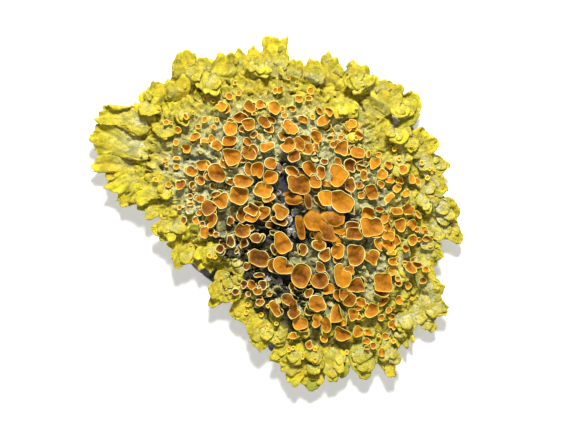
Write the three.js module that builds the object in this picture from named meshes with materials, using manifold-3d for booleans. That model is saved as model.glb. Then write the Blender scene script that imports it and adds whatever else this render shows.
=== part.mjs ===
// A rosette of common orange lichen, Xanthoria parietina, on the flake of bark it grew on.
// Two bodies: the lichen, with its lobes and its fruiting discs grown into one, and the bark flake.
// Millimetres, +Z up. The flake's flat underside lies on z = 0, and the centre is over the origin.
import * as THREE from "three";
import { mergeVertices } from "three/addons/utils/BufferGeometryUtils.js";
import Module from "manifold-3d";

const wasm = await Module();
wasm.setup();

// Heights and thicknesses
const BARK_HEIGHT = 2.3; // top of the bark flake at the centre
const BARK_FALL = 1.2; // how much lower it is at FALL_RADIUS
const FALL_RADIUS = 28;
const BARK_LOWEST = 0.7;
const FURROW = 0.12; // half the depth of the bark's furrows
const BARK_UNDERCUT = 0.96; // reach of the flake's underside against its upper side
const GAP = 0.3; // between the bark and the underside of the lichen
const FLOOR_THICKNESS = 0.9;
const LOBE_THICKNESS = 0.72;
const HUMMOCK = 0.55; // half the height of the swellings in the floor
const HUMMOCK_SPACING = 5.2;
const DISC_SINK = 0.45; // depth to which a disc's root is sunk in what it grows on

// Lobes: a short one is one row of facets long, one of middling length two, and a long one three
const SHORT_LOBE = 5.6;
const LONG_LOBE = 9;
const ROOT_WIDTH_SHARE = 0.7; // width of a lobe's root against the spread of its free edge
const FOLD = 0.22; // a fold's height above or depth below the lie of its lobe

// Edge of the lichen's floor and of the bark flake: distance from the centre every 15 degrees,
// anticlockwise from +X. The bark reaches further out than the floor where it shows in a gap.
const FLOOR_REACH = [
  27.5, 27.4, 25, 28, 26, 25.2, 26, 26.4, 27.5, 28.5, 29, 27,
  21.3, 17.4, 14.2, 13.8, 16, 18.6, 22, 27, 28, 29.5, 29.8, 27.4,
];
const BARK_REACH = [
  25.8, 25.4, 27.8, 24.6, 23.6, 22.6, 23.8, 23.6, 25, 24.6, 25.6, 24,
  19.4, 16.6, 16.9, 16.0, 14.8, 17.6, 24.0, 24.4, 25.4, 25.4, 26, 25,
];
const FLOOR_RAYS = 30;
const FLOOR_RINGS = 5;
const BARK_RAYS = 48;
const BARK_RINGS = 5;

// The lobes of the margin, clockwise from the top. root: where the lobe leaves the floor. up: its
// height there and at its free edge, above the lie of the bark. edge: the free edge, point by point.
const MARGIN = [
  { root: [-0.3, 23.2], up: [0.8, 1.5], edge: [[-2.8, 27.6], [-1.6, 28.4], [-2.2, 29.8], [-0.6, 29.8],
    [0.3, 29.5], [2.0, 30.1], [1.6, 28.4], [1.9, 26.5]] },
  { root: [3.0, 22.2], up: [0.5, 0.9], edge: [[1.8, 26.5], [2.9, 26.4], [3.9, 26.1], [5.1, 25.5]] },
  { root: [6.0, 21.8], up: [0.7, 1.5], edge: [[4.6, 25.0], [5.3, 25.9], [6.2, 26.2], [7.1, 26.0],
    [7.4, 25.2]] },
  { root: [9.0, 21.6], up: [0.5, 1.0], edge: [[7.2, 25.8], [7.9, 26.8], [8.8, 27.8], [9.4, 27.0],
    [10.5, 26.3], [10.9, 25.3], [11.9, 23.9]] },
  { root: [13.2, 20.6], up: [0.8, 1.6], edge: [[12.2, 24.5], [12.3, 25.9], [13.1, 26.1], [14.3, 25.2],
    [15.3, 25.1], [16.1, 23.8], [16.0, 22.8]] },
  { root: [16.0, 20.2], up: [0.5, 1.2], edge: [[15.4, 23.2], [16.6, 23.6], [17.3, 23.2], [17.4, 22.2]] },
  { root: [17.4, 17.6], up: [0.8, 1.4], edge: [[17.5, 23.1], [18.6, 22.9], [19.7, 22.4], [21.3, 21.8],
    [21.7, 21.1], [21.4, 20.3]] },
  { root: [20.0, 17.0], up: [0.5, 1.3], edge: [[21.6, 20.3], [22.7, 20.5], [23.2, 20.9], [24.2, 19.9],
    [24.7, 19.2], [24.8, 18.2], [24.2, 17.2]] },
  { root: [20.4, 14.8], up: [0.3, 0.6], edge: [[24.6, 17.4], [24.1, 16.2], [23.7, 15.1], [22.9, 14.5]] },
  { root: [20.8, 10.4], up: [0.7, 1.3], edge: [[23.6, 13.1], [24.7, 14.5], [25.3, 13.7], [26.2, 13.3],
    [27.3, 12.7], [27.6, 11.8], [27.4, 11.1], [26.7, 10.5]] },
  { root: [23.6, 8.6], up: [0.6, 1.4], edge: [[26.7, 10.2], [27.6, 9.8], [28.6, 9.3], [29.4, 8.6],
    [29.4, 7.9], [28.6, 7.2], [28.4, 6.4]] },
  { root: [24.6, 5.0], up: [0.4, 0.9], edge: [[28.5, 6.5], [28.9, 5.0], [28.8, 4.0], [27.9, 3.0],
    [26.6, 2.8]] },
  { root: [25.4, 1.0], up: [0.8, 1.7], edge: [[27.8, 2.3], [28.8, 2.8], [30.1, 2.5], [30.6, 1.7],
    [31.3, 0.7], [31.2, -0.3], [30.5, -1.3]] },
  { root: [25.4, -1.8], up: [0.4, 0.9], edge: [[31.0, -0.9], [31.0, -1.9], [31.6, -2.8], [31.9, -4.4],
    [30.7, -5.2], [29.8, -4.3], [28.6, -4.4], [27.8, -3.1]] },
  { root: [24.4, -4.4], up: [0.7, 1.1], edge: [[26.9, -3.4], [27.3, -4.6], [28.2, -5.2], [27.4, -6.1]] },
  { root: [23.6, -7.2], up: [0.5, 1.3], edge: [[27.3, -5.9], [28.5, -7.0], [27.6, -7.9], [27.0, -9.3]] },
  { root: [23.6, -10.8], up: [0.7, 1.2], edge: [[27.0, -9.0], [27.1, -10.4], [27.3, -11.5], [28.4, -12.1],
    [28.7, -13.0], [28.2, -13.9]] },
  { root: [24.4, -14.2], up: [0.5, 1.5], edge: [[28.1, -13.4], [28.2, -15.2], [29.3, -16.0], [28.6, -17.3],
    [27.4, -17.4], [26.4, -16.8]] },
  { root: [22.8, -15.4], up: [0.3, 0.5], edge: [[26.2, -17.4], [27.3, -18.9], [26.9, -20.1], [26.3, -20.4],
    [25.2, -19.0], [24.2, -19.0]] },
  { root: [21.4, -17.2], up: [0.4, 0.8], edge: [[23.8, -19.1], [23.4, -20.3], [23.5, -21.4], [22.9, -21.9],
    [22.3, -21.2]] },
  { root: [20.6, -19.2], up: [0.7, 1.5], edge: [[22.5, -21.4], [22.5, -22.6], [22.1, -22.9], [21.4, -22.4],
    [20.8, -22.9], [20.2, -22.0]] },
  { root: [19.4, -20.8], up: [0.4, 0.7], edge: [[20.9, -22.8], [20.4, -23.9], [19.2, -24.3]] },
  { root: [18.2, -22.2], up: [0.6, 1.3], edge: [[19.7, -24.2], [19.9, -25.2], [20.3, -26.0], [20.1, -26.7],
    [20.4, -27.5], [19.4, -28.1], [18.6, -27.5], [18.3, -25.8]] },
  { root: [17.2, -21.2], up: [0.3, 0.5], edge: [[18.3, -26.1], [17.8, -26.4], [16.8, -25.2],
    [15.9, -23.9]] },
  { root: [14.2, -21.8], up: [0.7, 1.1], edge: [[16.0, -24.4], [16.1, -26.0], [16.0, -27.4], [15.2, -27.7],
    [14.4, -28.2], [13.7, -27.3], [13.0, -26.8], [12.8, -25.6]] },
  { root: [11.4, -23.6], up: [0.3, 0.5], edge: [[12.5, -26.4], [12.1, -27.6], [10.9, -27.8],
    [10.4, -26.9]] },
  { root: [9.8, -22.8], up: [0.7, 1.5], edge: [[11.5, -26.1], [10.7, -27.0], [10.3, -28.4], [9.5, -28.7],
    [8.8, -28.3], [8.3, -27.5], [8.5, -26.2]] },
  { root: [6.6, -24.2], up: [0.3, 0.6], edge: [[8.2, -27.6], [7.8, -28.8], [6.9, -29.7], [6.3, -30.1],
    [5.4, -30.0], [4.5, -28.6], [4.3, -27.6]] },
  { root: [4.4, -23.6], up: [0.6, 1.3], edge: [[4.6, -28.1], [3.9, -28.9], [3.3, -29.3], [2.4, -29.0],
    [1.7, -28.4], [1.5, -26.6]] },
  { root: [3.2, -22.0], up: [0.8, 1.2], edge: [[1.6, -26.2], [1.0, -26.7], [0.5, -25.7], [-0.4, -25.0],
    [-1.2, -24.3], [-0.6, -23.6]] },
  { root: [-1.4, -18.2], up: [0.6, 1.2], edge: [[-1.8, -22.0], [-2.1, -22.7], [-2.7, -23.3], [-3.3, -22.8],
    [-4.5, -22.0], [-4.7, -21.0], [-5.2, -19.4], [-4.8, -18.4]] },
  { root: [-4.4, -15.2], up: [0.3, 0.6], edge: [[-4.9, -18.9], [-5.7, -18.7], [-7.2, -17.9], [-8.2, -16.9],
    [-7.7, -15.8]] },
  { root: [-8.2, -13.0], up: [0.2, 0.5], edge: [[-9.2, -15.0], [-10.2, -15.8], [-11.1, -15.9],
    [-11.8, -15.4], [-11.2, -14.4]] },
  { root: [-6.8, -11.4], up: [0.6, 1.3], edge: [[-6.8, -14.6], [-8.2, -15.3], [-9.4, -15.0], [-10.2, -14.6],
    [-11.2, -14.5], [-11.5, -13.4], [-11.3, -12.0], [-9.8, -11.8]] },
  { root: [-10.4, -5.6], up: [0.4, 0.7], edge: [[-10.3, -8.8], [-11.2, -10.1], [-12.0, -9.2], [-13.2, -9.7],
    [-14.1, -8.4]] },
  { root: [-14.6, -4.4], up: [0.5, 1.1], edge: [[-14.8, -8.8], [-15.5, -8.7], [-16.9, -9.6], [-17.5, -9.1],
    [-17.5, -8.0], [-17.9, -6.8], [-17.0, -6.2]] },
  { root: [-15.2, -4.2], up: [0.4, 0.8], edge: [[-17.9, -6.3], [-18.6, -5.6], [-18.3, -4.9],
    [-17.2, -4.2]] },
  { root: [-16.8, -2.4], up: [0.8, 1.1], edge: [[-18.3, -4.9], [-19.7, -4.6], [-19.9, -3.8], [-21.3, -2.3],
    [-20.8, -1.6], [-19.4, -1.4]] },
  { root: [-17.6, 1.2], up: [0.3, 0.7], edge: [[-18.7, -1.4], [-19.6, -0.7], [-20.8, -0.1], [-22.1, 0.3],
    [-23.6, 0.6], [-24.0, 1.5]] },
  { root: [-22.6, 3.8], up: [0.2, 0.5], edge: [[-24.0, 1.3], [-25.4, 1.3], [-26.6, 1.5], [-27.3, 2.6],
    [-27.0, 3.6]] },
  { root: [-18.2, 4.9], up: [1.5, 1.7], edge: [[-18.3, 3.3], [-20.6, 2.7], [-22.2, 2.1], [-23.6, 1.4],
    [-24.6, 2.4], [-24.6, 3.8], [-23.7, 5.3], [-22.6, 6.5], [-20.5, 7.0]] },
  { root: [-23.6, 6.0], up: [0.9, 1.2], edge: [[-24.4, 3.6], [-25.6, 3.5], [-26.9, 3.2], [-28.0, 3.9],
    [-29.4, 4.3], [-28.3, 5.4], [-27.9, 6.3]] },
  { root: [-24.4, 8.0], up: [0.7, 1.1], edge: [[-28.3, 5.9], [-29.3, 5.5], [-29.2, 6.8], [-30.9, 7.0],
    [-31.4, 7.9], [-30.9, 9.1], [-30.1, 10.1]] },
  { root: [-22.2, 11.2], up: [0.9, 1.6], edge: [[-27.0, 10.7], [-29.4, 10.3], [-30.6, 10.2], [-31.2, 11.3],
    [-31.7, 12.4], [-31.8, 13.4], [-31.2, 14.3], [-29.9, 15.1]] },
  { root: [-22.0, 15.6], up: [1.2, 2.0], edge: [[-25.0, 13.9], [-27.0, 15.1], [-29.9, 15.1], [-30.7, 15.8],
    [-30.0, 17.1], [-29.4, 18.0], [-28.3, 18.2], [-27.6, 17.6], [-25.6, 17.7]] },
  { root: [-21.6, 15.4], up: [0.7, 1.1], edge: [[-25.6, 17.6], [-24.5, 18.3], [-23.3, 18.8],
    [-22.4, 18.2]] },
  { root: [-20.0, 18.0], up: [0.8, 1.6], edge: [[-23.0, 18.8], [-23.4, 19.4], [-22.5, 20.6], [-22.2, 21.2],
    [-21.5, 21.9], [-20.9, 22.6], [-19.9, 22.4]] },
  { root: [-18.2, 19.2], up: [0.5, 0.9], edge: [[-20.2, 22.4], [-19.2, 22.3], [-18.4, 22.8],
    [-17.4, 23.6]] },
  { root: [-15.4, 22.0], up: [0.7, 1.5], edge: [[-17.6, 23.6], [-17.7, 24.8], [-17.5, 26.3], [-16.6, 27.3],
    [-15.5, 27.8], [-14.4, 27.4], [-13.7, 26.4], [-13.6, 25.0]] },
  { root: [-12.2, 22.2], up: [0.4, 0.8], edge: [[-13.8, 26.6], [-12.5, 26.6], [-11.0, 26.3],
    [-10.2, 25.6]] },
  { root: [-8.8, 22.4], up: [0.6, 1.4], edge: [[-10.7, 26.2], [-10.1, 27.2], [-9.3, 27.4], [-8.4, 27.1],
    [-7.8, 27.6], [-6.9, 27.4]] },
  { root: [-6.0, 22.6], up: [0.4, 0.8], edge: [[-7.2, 27.4], [-6.3, 28.0], [-5.5, 27.5], [-4.8, 26.8]] },
  { root: [-3.8, 22.8], up: [0.6, 1.1], edge: [[-5.1, 27.0], [-4.6, 28.1], [-4.0, 28.6], [-3.4, 28.1],
    [-2.4, 27.0]] },
];

// Lobes of the second storey, which lie over the floor or over the roots of the marginal ones.
const INNER = [
  { root: [11.3, 19.6], up: [1.2, 1.8], edge: [[9.0, 17.2], [10.0, 16.2], [11.5, 15.9], [13.0, 16.0],
    [13.9, 17.0]] },
  { root: [14.4, 23.0], up: [1.3, 2.0], edge: [[12.4, 23.4], [11.7, 22.2], [12.5, 21.2], [14.4, 20.9],
    [15.6, 21.6]] },
  { root: [20.8, 18.8], up: [1.1, 1.8], edge: [[19.6, 16.7], [20.6, 16.3], [21.7, 16.3], [22.5, 17.0]] },
  { root: [20.4, 14.6], up: [1.0, 1.7], edge: [[18.9, 12.9], [19.8, 12.0], [21.2, 12.1], [22.4, 12.9]] },
  { root: [21.4, 10.0], up: [1.0, 1.9], edge: [[20.0, 8.0], [20.3, 6.6], [21.5, 6.1], [22.5, 6.8],
    [22.7, 8.2]] },
  { root: [25.6, 3.4], up: [0.9, 1.6], edge: [[24.5, 1.5], [25.1, 0.5], [25.7, -0.1], [26.6, 1.3]] },
  { root: [3.4, -22.2], up: [1.4, 2.0], edge: [[2.2, -25.0], [2.9, -25.8], [4.0, -25.5], [4.4, -24.4]] },
  { root: [-11.0, -4.8], up: [1.0, 1.6], edge: [[-8.9, -7.0], [-9.4, -8.3], [-11.2, -8.4], [-12.6, -8.1],
    [-13.9, -7.8]] },
  { root: [-17.7, -1.2], up: [1.4, 2.1], edge: [[-16.7, -2.4], [-16.7, -3.7], [-17.8, -4.8], [-18.8, -3.9],
    [-18.8, -2.5]] },
  { root: [-16.0, 17.8], up: [1.0, 1.6], edge: [[-17.1, 16.3], [-16.4, 15.2], [-15.2, 15.2],
    [-14.8, 16.4]] },
  { root: [-12.0, 23.6], up: [1.2, 2.0], edge: [[-14.3, 22.6], [-13.6, 21.5], [-11.8, 20.6], [-10.0, 20.0],
    [-9.4, 21.2]] },
  { root: [-3.2, 25.6], up: [1.2, 1.7], edge: [[-5.0, 24.4], [-3.6, 23.4], [-1.9, 22.9], [-0.9, 24.0]] },
];

// The fruiting discs from about 1.5 mm across: centre x and y, length, width and turn in degrees.
// The buds between them are smaller than the facets that this body is made of.
const DISCS = [
  [-9.05, 17.9, 1.9, 1.6, -20], [-7.7, 14.4, 2.3, 2.1, -90], [-5.9, 16.85, 2.3, 1.6, 0],
  [-4.3, 18.2, 2.1, 1.7, -45], [-0.3, 17.5, 2.3, 2.0, -60], [-2.1, 15.75, 2.2, 1.6, -35],
  [-4.9, 14.85, 2.2, 2.1, 0], [1.7, 14.0, 3.1, 2.0, -35], [8.3, 14.9, 2.3, 1.6, 25],
  [12.75, 15.1, 1.8, 1.5, 0], [-15.4, 11.2, 1.7, 1.5, 90], [-10.0, 11.3, 1.9, 1.7, 90],
  [-7.8, 12.0, 2.3, 2.1, 0], [-7.6, 9.7, 3.3, 2.3, -50], [-14.35, 7.3, 1.9, 1.8, 0],
  [-12.8, 8.1, 2.1, 1.6, 0], [-10.0, 6.8, 3.2, 2.3, -40], [-16.2, 5.0, 1.8, 1.6, 70],
  [-3.15, 11.15, 2.1, 1.2, -45], [-1.45, 10.5, 2.5, 1.5, 10], [-4.65, 10.1, 2.3, 2.2, 0],
  [-3.3, 7.05, 2.6, 2.2, 80], [-1.35, 5.95, 2.4, 2.1, 0], [-0.8, 8.3, 2.1, 1.9, 0],
  [-5.7, 5.6, 3.2, 1.9, 0], [1.65, 11.6, 2.4, 2.3, 0], [4.7, 13.2, 1.9, 1.3, 0],
  [4.0, 11.7, 2.5, 1.7, -45], [5.5, 11.0, 1.9, 1.8, 0], [2.6, 9.7, 2.1, 1.9, 80],
  [5.2, 9.4, 2.5, 1.1, 0], [5.5, 7.5, 2.6, 2.1, -75], [3.2, 7.8, 2.2, 1.4, -35],
  [3.6, 4.9, 3.7, 3.2, 0], [6.6, 5.0, 2.0, 1.8, 0], [7.2, 13.2, 2.2, 1.4, -60],
  [10.9, 11.0, 2.3, 2.2, 90], [13.7, 10.1, 2.3, 1.7, -15], [7.9, 6.9, 2.0, 1.6, 80],
  [10.3, 6.1, 3.4, 3.2, 90], [12.5, 8.1, 2.2, 2.0, -60], [17.1, 8.3, 2.1, 1.4, 50],
  [17.9, 6.5, 1.7, 1.5, 0], [12.3, 4.9, 2.2, 1.8, 90], [16.1, 3.9, 2.4, 2.1, -60],
  [21.4, 7.3, 1.6, 1.5, 0], [-11.6, 0.6, 2.5, 2.3, 0], [-10.35, -1.3, 2.4, 1.5, 90],
  [-11.85, -3.1, 2.0, 1.6, 90], [-8.4, -4.6, 2.0, 1.3, -75], [-7.0, 0.1, 2.8, 1.5, 85],
  [-9.2, 2.5, 2.4, 2.2, 30], [-6.2, 3.2, 3.0, 2.8, 0], [-4.0, 1.4, 2.5, 1.6, -30],
  [-4.2, -0.4, 2.6, 2.4, -30], [-2.3, 4.0, 2.9, 2.2, -20], [-1.6, 2.2, 2.2, 1.5, 0],
  [-1.9, 0.2, 2.2, 1.9, 30], [0.9, 0.2, 2.5, 2.0, -50], [0.1, -1.5, 2.8, 1.5, -35],
  [0.5, -5.0, 3.4, 2.6, -60], [-2.9, -5.0, 2.3, 1.6, 15], [-4.5, -5.4, 1.9, 1.3, 70],
  [-5.7, -2.8, 2.6, 2.2, 0], [3.0, 2.4, 2.7, 1.2, 0], [5.2, 2.0, 2.4, 1.0, -80],
  [3.9, -2.3, 3.6, 1.2, -80], [6.2, -1.4, 2.9, 2.9, 0], [4.3, -6.2, 1.9, 1.5, 80],
  [8.1, 2.2, 2.8, 1.8, -60], [10.9, 2.3, 4.0, 3.3, -35], [13.6, 1.1, 2.2, 1.0, 85],
  [15.6, 0.9, 2.5, 1.7, -5], [16.0, -2.2, 3.3, 3.2, 0], [18.6, -0.6, 2.2, 1.0, 80],
  [20.9, -1.8, 2.1, 1.8, 75], [19.1, -3.9, 1.9, 1.7, -20], [20.9, -4.2, 2.0, 1.3, -70],
  [22.45, 0.9, 2.0, 1.9, 0], [22.8, -2.0, 1.9, 1.4, 80], [9.7, -1.2, 3.0, 2.3, -15],
  [8.9, -3.5, 2.8, 2.0, -50], [12.9, -1.7, 2.4, 1.4, 0], [12.9, -3.4, 2.8, 1.9, 0],
  [7.0, -5.5, 2.2, 1.6, -10], [-3.0, -7.5, 3.5, 2.6, -8], [0.9, -8.8, 3.4, 3.0, -35],
  [8.3, -7.0, 2.1, 1.8, 30], [10.3, -6.7, 2.4, 2.2, 80], [13.2, -6.8, 3.2, 2.9, 90],
  [4.3, -10.2, 3.6, 2.9, 85], [7.3, -9.3, 2.0, 1.6, 90], [7.4, -11.4, 2.8, 2.6, 0],
  [10.4, -10.7, 3.8, 2.2, -75], [11.1, -13.5, 2.2, 1.8, -80], [9.0, -13.3, 2.2, 1.4, 25],
  [2.1, -14.4, 2.4, 1.7, -30], [0.2, -15.8, 2.6, 1.4, -60], [3.0, -16.8, 2.4, 2.0, -70],
  [4.1, -18.6, 2.3, 2.1, 90], [6.7, -15.3, 2.9, 2.4, 0], [12.4, -14.7, 2.2, 2.0, 40],
  [11.0, -17.2, 3.2, 1.7, 80], [12.4, -9.4, 2.0, 1.5, 80], [15.7, -7.7, 2.8, 2.0, -25],
  [16.9, -5.4, 2.2, 1.1, -60], [18.6, -5.9, 2.1, 1.5, -35], [22.2, -9.6, 2.0, 1.4, -60],
  [17.9, -11.8, 3.2, 2.8, -75], [17.5, -14.2, 2.6, 1.4, 0], [13.4, -12.0, 2.6, 2.4, 0],
  [16.4, -16.3, 2.3, 2.1, 40], [7.0, -18.3, 2.0, 1.5, 80], [8.9, -18.7, 2.4, 1.6, 90],
  [12.8, -17.0, 2.0, 1.8, 0], [11.3, -20.0, 2.7, 2.0, -30], [13.6, -20.0, 1.9, 1.6, 40],
];
const SMALLEST_EDGE = 0.1; // the facets' shorter edges are drawn together
const BIG_DISC = 2.8; // from this size on, the rim of a disc is modelled as a ring of its own
const SIDES = { big: 9, middling: 7, small: 6 };
const MIDDLING_DISC = 1.9;
const RIM_WAVE = 0.2; // dip of the rim at both ends of the disc
const RIM_DROP = 0.1; // of the rim's inner edge below its outer edge
const DISC_HEIGHT = 0.55; // of the smallest disc's rim above what it grows on
const DISC_HEIGHT_SHARE = 0.5; // added for each millimetre of the disc's radius
const DISC_HEIGHT_SPREAD = 0.35; // the most that one disc stands above another of its size
const ROOT_SHARE = 0.5; // width of a disc's root against its rim
const RIM_SHARE = 0.82; // inner edge of the rim against its outer edge
const HOLLOW_SHARE = 0.42; // depth of the disc's hollow against its radius
const MOST_TILT = 13; // degrees

// A seeded random number generator, so the same rosette grows each time.
function seededRandom(seed) {
  let state = seed;
  return () => {
    state = (state + 0x6d2b79f5) | 0;
    let mixed = Math.imul(state ^ (state >>> 15), 1 | state);
    mixed = (mixed + Math.imul(mixed ^ (mixed >>> 7), 61 | mixed)) ^ mixed;
    return ((mixed ^ (mixed >>> 14)) >>> 0) / 4294967296;
  };
}

// Height of the lie of the bark: a low dome, which the lichen follows at a small distance.
function barkLie(x, y) {
  const share = Math.hypot(x, y) / FALL_RADIUS;
  return Math.max(BARK_LOWEST, BARK_HEIGHT - BARK_FALL * share * share);
}

// Swellings of the lichen's floor, from 0 to 2 HUMMOCK high.
function hummock(x, y) {
  const u = (2 * Math.PI * x) / HUMMOCK_SPACING;
  const v = (2 * Math.PI * y) / HUMMOCK_SPACING;
  const eastWest = Math.sin(u + 0.6 * Math.sin(0.37 * v));
  const northSouth = Math.sin(v + 0.8 * Math.cos(0.41 * u));
  return HUMMOCK * (1 + 0.5 * eastWest + 0.5 * northSouth);
}

// A radius at any angle from a ring of radii at even steps, by a smooth curve through them.
function reachAt(reach, angle) {
  const place = (((angle / (2 * Math.PI)) % 1) + 1) * reach.length;
  const first = Math.floor(place);
  const t = place - first;
  const [a, b, c, d] = [-1, 0, 1, 2].map((step) => reach[(first + step) % reach.length]);
  const bend = -a + 3 * b - 3 * c + d;
  return b + 0.5 * t * (c - a + t * (2 * a - 5 * b + 4 * c - d + t * bend));
}

// A closed solid from rows of points, each row a ring about +Z, first the underside's centre and
// last the upper side's centre. Rings run anticlockwise.
function ringedSolid(lowCentre, rings, highCentre) {
  const sides = rings[0].length;
  const points = [lowCentre, ...rings.flat(), highCentre];
  const faces = [];
  const at = (ring, side) => 1 + ring * sides + (side % sides);
  for (let side = 0; side < sides; side++) {
    faces.push(0, at(0, side + 1), at(0, side));
    for (let ring = 0; ring + 1 < rings.length; ring++) {
      faces.push(at(ring, side), at(ring, side + 1), at(ring + 1, side + 1));
      faces.push(at(ring, side), at(ring + 1, side + 1), at(ring + 1, side));
    }
    faces.push(points.length - 1, at(rings.length - 1, side), at(rings.length - 1, side + 1));
  }
  return solidFrom(points, faces);
}

// A closed solid with the same triangles on its upper and its lower face. grid holds rows of
// points of the upper face; under(point) gives the height of the point below each.
function bladeSolid(grid, under) {
  const rows = grid.length;
  const columns = grid[0].length;
  const upper = grid.flat();
  const lower = upper.map((point) => [point[0], point[1], under(point)]);
  const faces = [];
  const at = (row, column) => row * columns + column;
  const quad = (a, b, c, d) => faces.push(a, b, c, a, c, d);
  const below = upper.length;
  for (let row = 0; row + 1 < rows; row++) {
    for (let column = 0; column + 1 < columns; column++) {
      const corners = [at(row, column), at(row + 1, column), at(row + 1, column + 1), at(row, column + 1)];
      quad(...corners);
      const [a, b, c, d] = corners.map((corner) => corner + below);
      faces.push(a, c, b, a, d, c);
    }
  }
  const border = [];
  for (let row = 0; row < rows - 1; row++) border.push(at(row, 0));
  for (let column = 0; column < columns - 1; column++) border.push(at(rows - 1, column));
  for (let row = rows - 1; row > 0; row--) border.push(at(row, columns - 1));
  for (let column = columns - 1; column > 0; column--) border.push(at(0, column));
  border.forEach((from, i) => {
    const to = border[(i + 1) % border.length];
    quad(from, from + below, to + below, to);
  });
  return solidFrom([...upper, ...lower], faces);
}

function solidFrom(points, faces) {
  return new wasm.Manifold(
    new wasm.Mesh({
      numProp: 3,
      vertProperties: new Float32Array(points.flat()),
      triVerts: new Uint32Array(faces),
    }),
  );
}

function geometryOf(solid) {
  const { numProp, vertProperties, triVerts } = solid.getMesh();
  const positions = new Float32Array((vertProperties.length / numProp) * 3);
  for (let i = 0; i < positions.length / 3; i++) {
    positions.set(vertProperties.subarray(i * numProp, i * numProp + 3), i * 3);
  }
  const geometry = new THREE.BufferGeometry();
  geometry.setAttribute("position", new THREE.BufferAttribute(positions, 3));
  geometry.setIndex(new THREE.BufferAttribute(new Uint32Array(triVerts), 1));
  return geometry;
}

// A slab that reaches out to a ring of radii, with its upper and lower faces given as heights.
function roundSlab(reach, rays, rings, high, low, underShare = 1) {
  const ringAt = (share, height) =>
    Array.from({ length: rays }, (_, ray) => {
      const angle = (2 * Math.PI * ray) / rays;
      const radius = share * reachAt(reach, angle);
      const x = radius * Math.cos(angle);
      const y = radius * Math.sin(angle);
      return [x, y, height(x, y)];
    });
  const shares = Array.from({ length: rings }, (_, ring) => Math.sqrt((ring + 1) / rings));
  const lowRings = shares.map((share) => ringAt(share * underShare, low));
  const highRings = shares.map((share) => ringAt(share, high)).reverse();
  return ringedSolid([0, 0, low(0, 0)], [...lowRings, ...highRings], [0, 0, high(0, 0)]);
}

// One lobe: a fan of blades from its root to the points of its free edge, folded along its length.
function lobe({ root, up, edge }, random) {
  const middle = edge[Math.floor(edge.length / 2)];
  const length = Math.hypot(middle[0] - root[0], middle[1] - root[1]);
  const along = [(middle[0] - root[0]) / length, (middle[1] - root[1]) / length];
  const first = edge[0];
  const last = edge[edge.length - 1];
  const rootWidth = ROOT_WIDTH_SHARE * Math.hypot(last[0] - first[0], last[1] - first[1]);
  const across = [-along[1], along[0]];
  const firstSide = Math.sign((first[0] - root[0]) * across[0] + (first[1] - root[1]) * across[1]);
  const rows = length > LONG_LOBE ? 3 : length > SHORT_LOBE ? 2 : 1;
  const folds = edge.map((_, column) => (column % 2 ? 1 : -1) * FOLD * (0.6 + 0.8 * random()));
  const grid = [];
  for (let row = 0; row <= rows; row++) {
    const t = row / rows;
    grid.push(
      edge.map((tip, column) => {
        const side = firstSide * rootWidth * (0.5 - column / (edge.length - 1));
        const from = [root[0] + side * across[0], root[1] + side * across[1]];
        const x = from[0] + t * (tip[0] - from[0]);
        const y = from[1] + t * (tip[1] - from[1]);
        const rise = up[0] + (up[1] - up[0]) * t * t + folds[column] * t;
        return [x, y, barkLie(x, y) + GAP + LOBE_THICKNESS + Math.max(0, rise)];
      }),
    );
  }
  if (firstSide > 0) grid.forEach((row) => row.reverse());
  return bladeSolid(grid, (point) => point[2] - LOBE_THICKNESS);
}

// One fruiting disc: a short, wide cup on a narrower root, tilted a little, with a raised rim.
function disc([x, y, long, wide, turn], ground, random) {
  const size = (long + wide) / 2;
  const big = size >= BIG_DISC;
  const sides = big ? SIDES.big : size > MIDDLING_DISC ? SIDES.middling : SIDES.small;
  const height = DISC_HEIGHT + (DISC_HEIGHT_SHARE * size) / 2 + DISC_HEIGHT_SPREAD * random();
  const start = random() * Math.PI;
  const ring = (share, level, sag = 0) =>
    Array.from({ length: sides }, (_, side) => {
      const angle = start + (2 * Math.PI * side) / sides;
      const wave = sag * (0.5 + 0.5 * Math.cos(2 * angle));
      return [(share * long * Math.cos(angle)) / 2, (share * wide * Math.sin(angle)) / 2, level - wave];
    });
  const rings = [ring(ROOT_SHARE, -DISC_SINK), ring(1, height, RIM_WAVE)];
  if (big) rings.push(ring(RIM_SHARE, height - RIM_DROP, RIM_WAVE));
  const hollow = height - (HOLLOW_SHARE * size) / 2;
  const tilt = () => THREE.MathUtils.degToRad(MOST_TILT * (2 * random() - 1));
  const stance = new THREE.Euler(tilt(), tilt(), THREE.MathUtils.degToRad(turn));
  const place = new THREE.Matrix4().makeRotationFromEuler(stance).setPosition(x, y, ground);
  const placed = (point) => new THREE.Vector3(...point).applyMatrix4(place).toArray();
  const foot = placed([0, 0, -DISC_SINK]);
  return ringedSolid(foot, rings.map((points) => points.map(placed)), placed([0, 0, hollow]));
}

// Grow the lichen: the floor, the lobes on it, then each disc on the surface that lies under it.
const random = seededRandom(7);
const lichenLow = (x, y) => barkLie(x, y) + GAP;
const floor = roundSlab(
  FLOOR_REACH, FLOOR_RAYS, FLOOR_RINGS,
  (x, y) => lichenLow(x, y) + FLOOR_THICKNESS + hummock(x, y),
  lichenLow,
);
const leafy = [...MARGIN, ...INNER].reduce((grown, form) => grown.add(lobe(form, random)), floor);

const surface = new THREE.Mesh(geometryOf(leafy), new THREE.MeshBasicMaterial({ side: THREE.DoubleSide }));
const downward = new THREE.Raycaster();
function surfaceAt(x, y) {
  downward.set(new THREE.Vector3(x, y, 50), new THREE.Vector3(0, 0, -1));
  const hit = downward.intersectObject(surface)[0];
  if (!hit) throw new Error("no lichen under the disc at " + x + ", " + y);
  return hit.point.z;
}

const grown = DISCS.reduce(
  (body, form) => body.add(disc(form, surfaceAt(form[0], form[1]), random)),
  leafy,
);

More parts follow.
